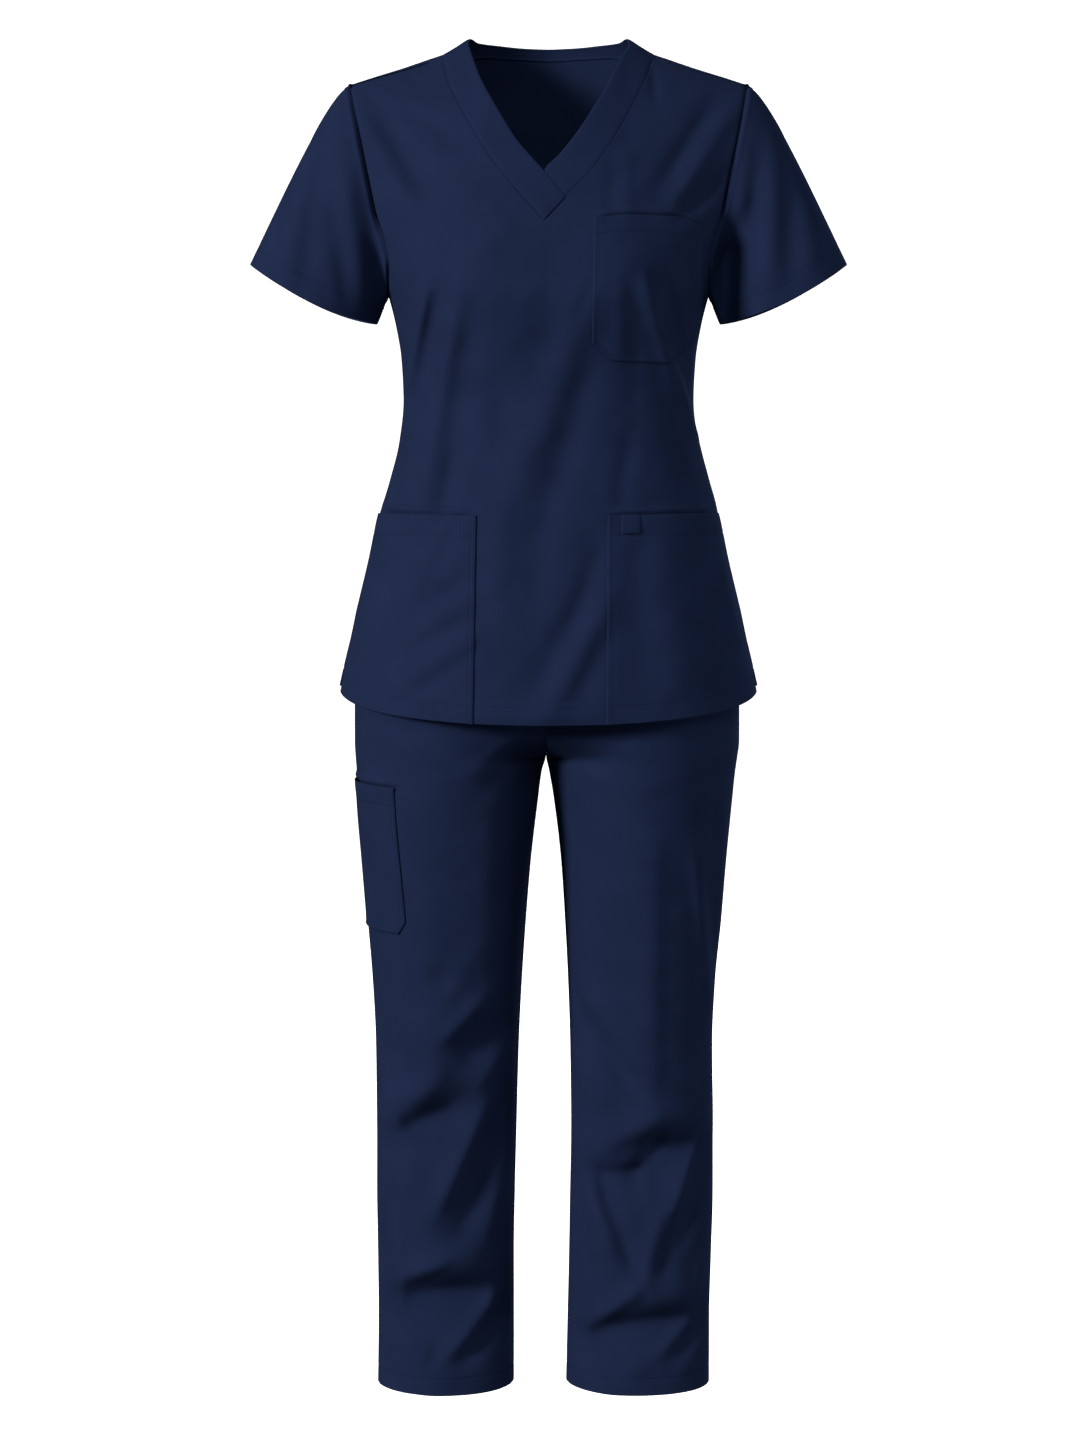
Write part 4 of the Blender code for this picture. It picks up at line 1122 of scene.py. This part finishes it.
def leg_steps():
    """Rows of a leg, about 4 mm apart where they show and closer at the hem and its stitches."""
    heights = np.concatenate([
        np.linspace(WAISTBAND_SEAM, -600, 24),
        clustered(-604, LEG_FOOT, 4.2, [], FINE_EDGE),
    ])
    heights = with_rows(heights, LEG_FOOT + LEG_STITCH_FROM_HEM + FINE_STITCH, 0.4)
    heights = heights[np.abs(heights - THIGH_POCKET_TOP) >= 10]
    heights = np.sort(np.append(heights, THIGH_POCKET_TOP + np.arange(-9, 10, 1.5)))[::-1]
    sampled = np.linspace(0, 19, 1901)
    sampled_heights = follow(LEG_ROWS, sampled, "side_height")
    return np.interp(-heights, -sampled_heights, sampled)


LEG_STEPS = leg_steps()


def leg_grid(side, front):
    """Front or back panel of a trouser leg."""
    width = 170 if front else 190
    shares = shares_along(width, 4.2, FINE_EDGE, FINE_EDGE)
    grid = []
    for row in LEG_STEPS:
        shift, = sizes(LEG_ROWS, row, "seam_shift")
        first, last = (shift, LEG_SIDE_SEAM) if front else (LEG_SIDE_SEAM, 4 + shift)
        grid.append(leg_points(side, row, first + (last - first) * shares))
    return np.array(grid)


def leg_sheet(grid, side):
    """Sheet of a leg panel from its grid."""
    from_hem = travelled(grid, 0, backward=True)
    rise = stitch_dip(from_hem - LEG_STITCH_FROM_HEM)
    rise = rise + seam_dip(travelled(grid, 1)) + seam_dip(travelled(grid, 1, backward=True))
    rise = rise + seam_dip(travelled(grid, 0))
    if side < 0:
        inside = np.clip((THIGH_POCKET_EDGE - grid[..., 0]) / 6, 0, 1)
        rise = rise + inside * roll_over(grid[..., 2] - THIGH_POCKET_TOP, 0.7 * MOUTH_ROLL)
    return weld([(grid, rise, hem_thickness(from_hem, LEG_STITCH_FROM_HEM))], leg_middle(side))


def waistband_sheet(legs):
    """Sheet of the waistband from the top edges of the four leg panels."""
    low = np.concatenate([
        legs["right_front"][0],
        legs["right_back"][0][1:],
        legs["left_back"][0][::-1][1:],
        legs["left_front"][0][::-1][1:],
    ])
    high = low.copy()
    seam_width = float(follow(LEG_OUTLINE, WAISTBAND_SEAM, "left_side"))
    high[:, 0] *= float(follow(LEG_OUTLINE, WAISTBAND_TOP, "left_side")) / seam_width
    high[:, 1] *= WAISTBAND_DEPTH_SHARE
    high[:, 2] = WAISTBAND_TOP
    grid = np.array([low + (high - low) * part for part in np.linspace(0, 1, 13)])
    return weld([(grid, seam_dip(travelled(grid, 0)), HEM_CLOTH)], torso_middle)


def share_of(side, level, across):
    """Share of a half panel at which a row lies a distance across."""
    half_width = float(follow(TORSO, level, "half_width"))
    ratio = (across - CENTRE_ACROSS) / (side * half_width - CENTRE_ACROSS)
    return math.asin(min(1.0, max(0.0, ratio))) * 2 / math.pi


def lower_pocket_sheet(side, mouth, inner_top, inner_foot):
    """Sheet of a lower pocket: from its mouth to the hem, from its inner edge to the side seam."""
    parts = shares_along(185, 4.0, FINE_EDGE, FINE_EDGE[:4])
    parts = with_rows(parts, (POCKET_STITCH_FROM_MOUTH + FINE_STITCH) / 172, 0.0025)
    columns = shares_along(150, 4.0, FINE_EDGE, FINE_EDGE[:4])
    across = np.zeros((len(parts), len(columns)))
    height = np.zeros_like(across)
    for row, part in enumerate(parts):
        for column, spread in enumerate(columns):
            level = mouth + (HEM_HEIGHT - mouth) * part
            start = share_of(side, level, inner_top + (inner_foot - inner_top) * part)
            share = start + (1 - start) * spread
            across[row, column], height[row, column] = half_place(side, level, share, True)
    grid = vent_pull(lay(across, height, front_y), side)
    from_mouth = travelled(grid, 0)
    from_inner = travelled(grid, 1)
    rise = stitch_dip(from_mouth - POCKET_STITCH_FROM_MOUTH) + sewn_edge(from_inner, 0.8, 9)
    rise = rise + seam_dip(travelled(grid, 1, backward=True)) + mouth_gape(columns, from_mouth, 2.2, 14)
    thick = POCKET_CLOTH + 0.3 * doubled_share(from_mouth - POCKET_STITCH_FROM_MOUTH)
    return weld([(grid, rise, thick)], torso_middle), grid


def chest_pocket_sheet():
    """Sheet of the chest pocket with its cut lower corners."""
    top = [("across", "height"), (43, -181), (80, -178), (118, -178), (152, -186)]
    foot = np.array([(40, -296), (41.5, -297.5), (58, -315), (116, -317), (152, -285), (153, -284)])
    parts = shares_along(130, 3.6, FINE_EDGE, FINE_EDGE)
    parts = with_rows(parts, (CHEST_STITCH_FROM_MOUTH + FINE_STITCH) / 132, 0.003)
    spreads = shares_along(115, 3.6, FINE_EDGE, FINE_EDGE)
    corners = (foot[2:4, 0] - CHEST_POCKET_FOOT_INNER) / 110
    spreads = np.unique(np.round(np.append(spreads, corners), 5))
    across = np.zeros((len(parts), len(spreads)))
    height = np.zeros_like(across)
    for row, part in enumerate(parts):
        inner_shift = (CHEST_POCKET_FOOT_INNER - CHEST_POCKET_TOP_INNER) * part
        width = CHEST_POCKET_OUTER - CHEST_POCKET_TOP_INNER
        flat = CHEST_POCKET_TOP_INNER + inner_shift + width * spreads
        upper = follow(top, flat, "height")
        lower = np.interp(flat, foot[:, 0], foot[:, 1])
        height[row] = upper + (lower - upper) * part
        limit = follow(TORSO, height[row], "half_width") - 2.5
        across[row] = np.minimum(flat, limit)
    grid = lay(across, height, front_y)
    from_mouth = travelled(grid, 0)
    from_left, from_right, from_foot = from_edges(grid)
    rise = stitch_dip(from_mouth - CHEST_STITCH_FROM_MOUTH)
    for distance in (from_left, from_foot):
        rise = rise + sewn_edge(distance, 0.25, 8)
    rise = rise + swell_by(from_right, -0.8, 5) + mouth_gape(spreads, from_mouth, 1.4, 12)
    return weld([(grid, rise, POCKET_CLOTH)], torso_middle), grid


def loop_sheet():
    """Sheet of the small loop tab on the mouth of the wearer's left lower pocket."""
    spreads = shares_along(17, 2.0, FINE_EDGE[:4], FINE_EDGE[:4])
    across, height = np.meshgrid(LOOP_ACROSS + LOOP_SIZE * spreads, LOOP_TOP - LOOP_SIZE * spreads)
    grid = lay(across, height, front_y)
    rise = 0.0
    for distance in from_edges(grid):
        rise = rise + swell_by(distance, -0.3, EDGE_DIP_WIDTH)
    return weld([(grid, rise, POCKET_CLOTH)], torso_middle)


def cargo_sheet():
    """Sheet of the thigh pocket on the outside of the wearer's right leg."""
    corners = -np.array([THIGH_POCKET_TOP, THIGH_POCKET_CORNER, THIGH_POCKET_FOOT])
    front_turns = (1.37, 1.31, 1.38)
    back_turns = (2.63, 2.72, 2.66)
    sampled = np.linspace(CROTCH_ROW, 14, 801)
    sampled_heights = follow(LEG_ROWS, sampled, "side_height")
    heights = clustered(THIGH_POCKET_TOP, THIGH_POCKET_FOOT, 4.0, FINE_EDGE, FINE_EDGE)
    heights = with_rows(heights, THIGH_POCKET_TOP - (THIGH_STITCH_FROM_MOUTH + FINE_STITCH), 0.4)
    heights = np.sort(np.append(heights, THIGH_POCKET_CORNER))[::-1]
    spreads = shares_along(165, 4.0, FINE_EDGE, FINE_EDGE)
    rows = []
    for height in heights:
        row = float(np.interp(-height, -sampled_heights, sampled))
        front_turn = float(np.interp(-height, corners, front_turns))
        back_turn = float(np.interp(-height, corners, back_turns))
        rows.append(leg_points(-1, row, front_turn + (back_turn - front_turn) * spreads))
    grid = np.array(rows)
    from_mouth = travelled(grid, 0)
    rise = stitch_dip(from_mouth - THIGH_STITCH_FROM_MOUTH)
    for distance in from_edges(grid):
        rise = rise + sewn_edge(distance, 0.7, 8)
    rise = rise + mouth_gape(spreads, from_mouth, 1.2, 14)
    return weld([(grid, rise, POCKET_CLOTH)], leg_middle(-1)), grid


def set_inputs(node, values):
    """Set inputs of a shader node by name, where _ stands for a space."""
    for name, value in values.items():
        node.inputs[name.replace("_", " ")].default_value = value


def new_material(name, **values):
    """New material, a way to add nodes to it, its links and its shader with some inputs set."""
    material = bpy.data.materials.new(name)
    material.use_nodes = True
    nodes = material.node_tree.nodes
    shader = nodes["Principled BSDF"]
    set_inputs(shader, values)

    def add(kind, **values):
        node = nodes.new(kind)
        set_inputs(node, values)
        return node

    return material, add, material.node_tree.links, shader


def cloth_material(name, colour, light_colour):
    """Fine navy twill: soft sheen, a diagonal weave and slight changes of tone."""
    material, add, links, shader = new_material(
        name, Metallic=0.0, Specular_IOR_Level=0.0, Sheen_Weight=0.015, Sheen_Roughness=0.45,
        Sheen_Tint=(0.45, 0.55, 0.85, 1.0))
    place = add("ShaderNodeUVMap")
    place.uv_map = "Cloth"
    turn = add("ShaderNodeMapping", Rotation=(0, 0, math.radians(62)))
    links.new(place.outputs["UV"], turn.inputs["Vector"])
    weave = add("ShaderNodeTexWave", Scale=320.0, Distortion=0.6, Detail=1.0)
    weave.wave_profile = "SIN"
    links.new(turn.outputs["Vector"], weave.inputs["Vector"])
    slub = add("ShaderNodeTexNoise", Scale=900.0, Detail=2.0)
    links.new(place.outputs["UV"], slub.inputs["Vector"])
    tone = add("ShaderNodeTexNoise", Scale=22.0, Detail=3.0)
    links.new(place.outputs["UV"], tone.inputs["Vector"])
    both = add("ShaderNodeMath")
    both.operation = "MULTIPLY_ADD"
    both.inputs[1].default_value = 0.35
    links.new(slub.outputs["Fac"], both.inputs[0])
    links.new(tone.outputs["Fac"], both.inputs[2])
    ramp = add("ShaderNodeValToRGB")
    ramp.color_ramp.elements[0].position = 0.38
    ramp.color_ramp.elements[0].color = colour
    ramp.color_ramp.elements[1].position = 0.95
    ramp.color_ramp.elements[1].color = light_colour
    links.new(both.outputs["Value"], ramp.inputs["Fac"])
    links.new(ramp.outputs["Color"], shader.inputs["Base Color"])
    rough = add("ShaderNodeMapRange", To_Min=0.72, To_Max=0.86)
    links.new(slub.outputs["Fac"], rough.inputs["Value"])
    links.new(rough.outputs["Result"], shader.inputs["Roughness"])
    thread = add("ShaderNodeBump", Strength=0.25, Distance=0.00005)
    links.new(weave.outputs["Fac"], thread.inputs["Height"])
    grain = add("ShaderNodeBump", Strength=0.3, Distance=0.00008)
    links.new(slub.outputs["Fac"], grain.inputs["Height"])
    links.new(thread.outputs["Normal"], grain.inputs["Normal"])
    links.new(grain.outputs["Normal"], shader.inputs["Normal"])
    return material


navy = cloth_material("navy_twill", (0.0118, 0.0198, 0.0550, 1.0), (0.0146, 0.0240, 0.0650, 1.0))
navy_band = cloth_material("navy_twill_band", (0.0114, 0.0192, 0.0535, 1.0), (0.0142, 0.0232, 0.0630, 1.0))

# The material of each kind of piece, with a slot name that nothing reads
PLAIN = (navy, "navy_cloth")
BANDED = (navy_band, "navy_band")


def thread_material():
    """Navy sewing thread, dull and a little lighter than the cloth."""
    material, add, links, shader = new_material("navy_thread", Specular_IOR_Level=0.0, Roughness=0.6)
    place = add("ShaderNodeTexCoord")
    twist = add("ShaderNodeTexNoise", Scale=1500.0)
    links.new(place.outputs["Object"], twist.inputs["Vector"])
    ramp = add("ShaderNodeValToRGB")
    ramp.color_ramp.elements[0].color = (0.0125, 0.0205, 0.0565, 1.0)
    ramp.color_ramp.elements[1].color = (0.0165, 0.0265, 0.0690, 1.0)
    links.new(twist.outputs["Fac"], ramp.inputs["Fac"])
    links.new(ramp.outputs["Color"], shader.inputs["Base Color"])
    return material


THREAD = thread_material()


def spaced(line, pitch):
    """Points on a line of points, evenly spaced."""
    line = np.asarray(line, dtype=float)
    steps = np.linalg.norm(np.diff(line, axis=0), axis=1)
    walked = np.concatenate([[0], np.cumsum(steps)])
    count = max(2, int(walked[-1] / pitch))
    at = np.linspace(0, walked[-1], count + 1)
    return np.stack([np.interp(at, walked, line[:, axis]) for axis in range(3)], axis=1)


def stitches(name, rows):
    """One mesh of all the stitches of some lines, each a short thread that dips at its ends."""
    ring = [(math.cos(angle), math.sin(angle)) for angle in np.linspace(0, 2 * math.pi, 6)[:-1]]
    stations = [(0.0, -0.25, 0.5), (0.22, 0.16, 1.0), (0.78, 0.16, 1.0), (1.0, -0.25, 0.5)]
    vertices = []
    faces = []
    for target, centre_line, line, pitch in rows:
        mesh = target.data
        corners = [vertex.co for vertex in mesh.vertices]
        tree = BVHTree.FromPolygons(corners, [face.vertices for face in mesh.polygons])
        places = spaced(line, pitch)
        outward = unit(places - centre_line(places))
        snapped = []
        for place, way in zip(places, outward):
            hit, normal, _, _ = tree.ray_cast(Vector((place + way * 25) * MILLIMETRE), Vector(-way), 0.05)
            snapped.append(None if hit is None else (np.array(hit) / MILLIMETRE, np.array(normal)))
        for near, far in zip(snapped, snapped[1:]):
            if near is None or far is None:
                continue
            along = far[0] - near[0]
            if not 0.3 < np.linalg.norm(along) < 2 * pitch:
                continue
            up = unit(near[1] + far[1])
            aside = unit(np.cross(up, along))
            first = len(vertices)
            for part, rise, size in stations:
                centre = near[0] + along * (0.1 + 0.8 * part) + up * rise
                for cosine, sine in ring:
                    vertices.append(centre + (aside * cosine + up * sine * 0.8) * THREAD_RADIUS * size)
            count = len(ring)
            for station in range(len(stations) - 1):
                for corner in range(count):
                    here = first + station * count + corner
                    there = first + station * count + (corner + 1) % count
                    faces.append((here, there, there + count, here + count))
    mesh = bpy.data.meshes.new(name)
    mesh.from_pydata((np.array(vertices) * MILLIMETRE).tolist(), [], faces)
    mesh.update()
    mesh.shade_smooth()
    mesh.materials.append(THREAD)
    thing = bpy.data.objects.new(name, mesh)
    bpy.context.collection.objects.link(thing)
    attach(thing, "root")
    return thing


def across_at(grid, distance, value):
    """Line across a grid where a distance measured along its columns has a value."""
    line = []
    for column in range(grid.shape[1]):
        order = np.argsort(distance[:, column])
        measured = distance[order, column]
        line.append([np.interp(value, measured, grid[order, column, axis]) for axis in range(3)])
    return np.array(line)


def down_at(grid, distance, value):
    """Line down a grid where a distance measured along its rows has a value."""
    return across_at(grid.transpose(1, 0, 2), distance.T, value)


def top_hem_line(front):
    """Stitch line of the top's hem, from side seam to side seam."""
    levels = HEM_HEIGHT + np.array([0, 9, 18, 27])
    shares = np.linspace(0, 0.985, 60)
    halves = []
    for side in (-1, 1):
        grid = half_grid(side, levels, shares, front)
        halves.append(across_at(grid, travelled(grid, 0), TOP_STITCH_FROM_HEM))
    return np.concatenate([halves[0][::-1], halves[1][1:]])


def neck_line(side):
    """Stitch line on the front panel, just outside the seam of the neckband."""
    name = "right" if side < 0 else "left"
    stations = np.linspace(3.1 if side < 0 else 3.9, 8.9, 70)
    seam_across = follow(FRONT_NECK, stations, name + "_across")
    seam_height = follow(FRONT_NECK, stations, name + "_height")
    off_across = seam_across - follow(BAND_EDGE, stations, name + "_across")
    off_height = seam_height - follow(BAND_EDGE, stations, name + "_height")
    length = np.hypot(off_across, off_height)
    across = seam_across + 1.8 * off_across / length
    height = seam_height + 1.8 * off_height / length
    return lay(across, height, front_y)


def flat_line(*places):
    """Straight line on the front of the top between given places."""
    across, height = np.array(places, dtype=float).T
    return lay(across, height, front_y)


def tack(centre, tall, wide, count):
    """Lines of close stitches that hold a pocket's corner."""
    lines = []
    for shift in np.linspace(-wide / 2, wide / 2, count):
        foot = (centre[0] + shift, centre[1] - tall / 2)
        lines.append(flat_line((centre[0] + shift, centre[1] + tall / 2), foot))
    return lines


def pocket_lines(grid, from_mouth):
    """Stitch lines of a pocket: one below its mouth, two beside each side edge and two above its foot."""
    from_left, from_right, from_foot = from_edges(grid)
    lines = [across_at(grid, travelled(grid, 0), from_mouth)]
    for value in POCKET_EDGE_STITCHES:
        lines += [down_at(grid, from_left, value), down_at(grid, from_right, value)]
        lines.append(across_at(grid, from_foot, value))
    return lines


# Cloth of the top
top_front = cloth("cloth_top_front", top_sheet(True), 0.0, PANEL_RIM, PLAIN, "top_front")
top_back = cloth("cloth_top_back", top_sheet(False), 0.0, PANEL_RIM, PLAIN, "top_back")
sheet, right_sleeve_grid = sleeve_sheet(-1)
sleeve_right = cloth("cloth_sleeve_right", sheet, 0.0, PANEL_RIM, PLAIN, "sleeve_right")
sheet, left_sleeve_grid = sleeve_sheet(1)
sleeve_left = cloth("cloth_sleeve_left", sheet, 0.0, PANEL_RIM, PLAIN, "sleeve_left")
band_right = cloth("band_right", front_band_sheet(-1), 0.25, BAND_RIM, BANDED, "neckband_right")
band_left = cloth("band_left", front_band_sheet(1), 0.2, BAND_RIM, BANDED, "neckband_left")
band_back = cloth("band_back", back_band_sheet(), 0.2, BAND_RIM, BANDED, "neckband_back")

pocket_lift = POCKET_CLOTH + 0.25
sheet, chest_grid = chest_pocket_sheet()
chest_pocket = cloth("pocket_chest", sheet, pocket_lift, PATCH_RIM, PLAIN, "chest_pocket")
sheet, right_pocket_grid = lower_pocket_sheet(-1, mouth=-463.5, inner_top=-69.5, inner_foot=-72.6)
lower_right = cloth("pocket_lower_right", sheet, pocket_lift, PATCH_RIM, PLAIN, "lower_pocket_right")
sheet, left_pocket_grid = lower_pocket_sheet(1, mouth=-463.3, inner_top=56.5, inner_foot=55.1)
lower_left = cloth("pocket_lower_left", sheet, pocket_lift, PATCH_RIM, PLAIN, "lower_pocket_left")
loop = cloth("loop_tab", loop_sheet(), 2 * pocket_lift + 0.6, PATCH_RIM, PLAIN, "pocket_loop")

# Cloth of the trousers
legs = {}
for side, word in ((-1, "right"), (1, "left")):
    for front, face in ((True, "front"), (False, "back")):
        legs[word + "_" + face] = leg_grid(side, front)
leg_cloths = {}
for name, grid in legs.items():
    sheet = leg_sheet(grid, -1 if name.startswith("right") else 1)
    leg_cloths[name] = cloth("cloth_leg_" + name, sheet, 0.0, PANEL_RIM, PLAIN, "trousers_" + name)
waistband = cloth("cloth_waistband", waistband_sheet(legs), 0.0, PANEL_RIM, PLAIN, "waistband")
sheet, cargo_grid = cargo_sheet()
cargo = cloth("pocket_thigh", sheet, pocket_lift, PATCH_RIM, PLAIN, "cargo_pocket")

# Sewing of the top
rows = [(top_front, torso_middle, top_hem_line(True), STITCH_PITCH)]
rows += [(top_front, torso_middle, neck_line(side), STITCH_PITCH) for side in (-1, 1)]
rows.append((top_front, torso_middle, flat_line((1.2, -184), (1.2, -196)), TACK_PITCH))
stitch_front = stitches("stitches_front", rows)
stitch_back = stitches("stitches_back", [(top_back, torso_middle, top_hem_line(False), STITCH_PITCH)])
band_end = band_grid(-1, [3.12], BAND_SHARES)[0]
stitch_band = stitches("stitches_band", [(band_right, torso_middle, band_end, STITCH_PITCH)])
for side, target, grid in ((-1, sleeve_right, right_sleeve_grid), (1, sleeve_left, left_sleeve_grid)):
    from_hem = travelled(grid, 0, backward=True)
    lines = [across_at(grid, from_hem, SLEEVE_STITCH_FROM_HEM - shift) for shift in (0, 3.2)]
    rows = [(target, sleeve_middle(side), line, STITCH_PITCH) for line in lines]
    stitches("stitches_sleeve_right" if side < 0 else "stitches_sleeve_left", rows)
for word, target, grid in (("right", lower_right, right_pocket_grid), ("left", lower_left, left_pocket_grid)):
    lines = [down_at(grid, travelled(grid, 1), value) for value in POCKET_EDGE_STITCHES]
    lines.append(across_at(grid, travelled(grid, 0), POCKET_STITCH_FROM_MOUTH))
    lines.append(across_at(grid, travelled(grid, 0, backward=True), TOP_STITCH_FROM_HEM))
    rows = [(target, torso_middle, line, STITCH_PITCH) for line in lines]
    corner = tack((-79, -477), 22, 10, 4) if word == "right" else tack((63, -474), 17, 7, 3)
    rows += [(target, torso_middle, line, TACK_PITCH) for line in corner]
    stitches("stitches_pocket_" + word, rows)
lines = pocket_lines(chest_grid, CHEST_STITCH_FROM_MOUTH)
rows = [(chest_pocket, torso_middle, line, STITCH_PITCH) for line in lines]
rows += [(chest_pocket, torso_middle, line, TACK_PITCH) for line in tack((48, -184), 5, 7, 5)]
stitch_chest = stitches("stitches_chest", rows)
loop_line = flat_line((71, -464.5), (71, -479), (85, -479), (85, -464.5))
stitch_loop = stitches("stitches_loop", [(loop, torso_middle, loop_line, LOOP_PITCH)])

# Sewing of the trousers
for name, grid in legs.items():
    side = -1 if name.startswith("right") else 1
    line = across_at(grid, travelled(grid, 0, backward=True), LEG_STITCH_FROM_HEM)
    rows = [(leg_cloths[name], leg_middle(side), line, STITCH_PITCH)]
    stitches("stitches_leg_" + name, rows)
lines = pocket_lines(cargo_grid, THIGH_STITCH_FROM_MOUTH)
rows = [(cargo, leg_middle(-1), line, STITCH_PITCH) for line in lines]
stitch_cargo = stitches("stitches_thigh", rows)


# Sizes of the backdrop in metres
FLOOR_HEIGHT = -1.62
FLOOR_FRONT = -7.0
FLOOR_HALF_WIDTH = 9.0
CURVE_START = 5.6
CURVE_RADIUS = 1.4
WALL_HEIGHT = 7.0


def stage():
    """Pale floor that curves up into a plain backdrop."""
    profile = [(FLOOR_FRONT, 0.0), (CURVE_START, 0.0)]
    for angle in np.linspace(0, math.pi / 2, 13)[1:]:
        depth = CURVE_START + CURVE_RADIUS * math.sin(angle)
        profile.append((depth, CURVE_RADIUS - CURVE_RADIUS * math.cos(angle)))
    profile.append((CURVE_START + CURVE_RADIUS, WALL_HEIGHT))
    vertices = []
    for depth, height in profile:
        vertices.append((-FLOOR_HALF_WIDTH, depth, FLOOR_HEIGHT + height))
        vertices.append((FLOOR_HALF_WIDTH, depth, FLOOR_HEIGHT + height))
    faces = [(2 * row, 2 * row + 1, 2 * row + 3, 2 * row + 2) for row in range(len(profile) - 1)]
    mesh = bpy.data.meshes.new("floor")
    mesh.from_pydata(vertices, [], faces)
    mesh.update()
    mesh.shade_smooth()
    material, add, links, shader = new_material(
        "pale_floor", Base_Color=(0.93, 0.93, 0.93, 1.0), Emission_Color=(1.0, 1.0, 1.0, 1.0),
        Roughness=0.9, Specular_IOR_Level=0.1)
    place = add("ShaderNodeTexCoord")
    split = add("ShaderNodeSeparateXYZ")
    glow = add("ShaderNodeMapRange", From_Min=0.15, From_Max=0.75, To_Min=0.0, To_Max=0.95)
    glow.interpolation_type = "SMOOTHSTEP"
    links.new(place.outputs["Object"], split.inputs["Vector"])
    links.new(split.outputs["Y"], glow.inputs["Value"])
    links.new(glow.outputs["Result"], shader.inputs["Emission Strength"])
    mesh.materials.append(material)
    floor = bpy.data.objects.new("floor", mesh)
    bpy.context.collection.objects.link(floor)
    floor.visible_diffuse = False
    floor.visible_glossy = False


def area_light(name, place, target, size, power, colour):
    """Soft square light aimed at a point."""
    light = bpy.data.lights.new(name, "AREA")
    light.shape = "SQUARE"
    light.size = size
    light.energy = power
    light.color = colour
    thing = bpy.data.objects.new(name, light)
    thing.location = place
    thing.rotation_euler = (Vector(target) - Vector(place)).to_track_quat("-Z", "Y").to_euler()
    bpy.context.collection.objects.link(thing)


stage()
area_light("key", (-5.0, -3.8, 1.25), (0, 0, -0.6), 1.5, 405, (1.0, 0.99, 0.97))
area_light("front", (0.6, -4.6, 1.9), (0, 0, -0.4), 1.6, 50, (0.97, 0.98, 1.0))
area_light("back", (2.4, 4.4, 1.3), (0, 0, -0.6), 1.8, 240, (0.98, 0.99, 1.0))
area_light("side", (4.0, -0.6, -0.9), (0, 0, -0.6), 1.6, 35, (0.97, 0.98, 1.0))

world = bpy.data.worlds.new("studio")
world.use_nodes = True
world.node_tree.nodes["Background"].inputs["Color"].default_value = (1.0, 1.0, 1.0, 1.0)
world.node_tree.nodes["Background"].inputs["Strength"].default_value = 0.13
bpy.context.scene.world = world
bpy.context.scene.view_settings.view_transform = "Standard"

camera_data = bpy.data.cameras.new("camera")
camera_data.lens = 74.91
camera_data.sensor_width = 36.0
camera_data.sensor_fit = "AUTO"
camera = bpy.data.objects.new("camera", camera_data)
camera.location = (-0.0055, -3.0, -0.3935)
camera.rotation_euler = (math.radians(90 - 5.332), 0, 0)
bpy.context.collection.objects.link(camera)
bpy.context.scene.camera = camera
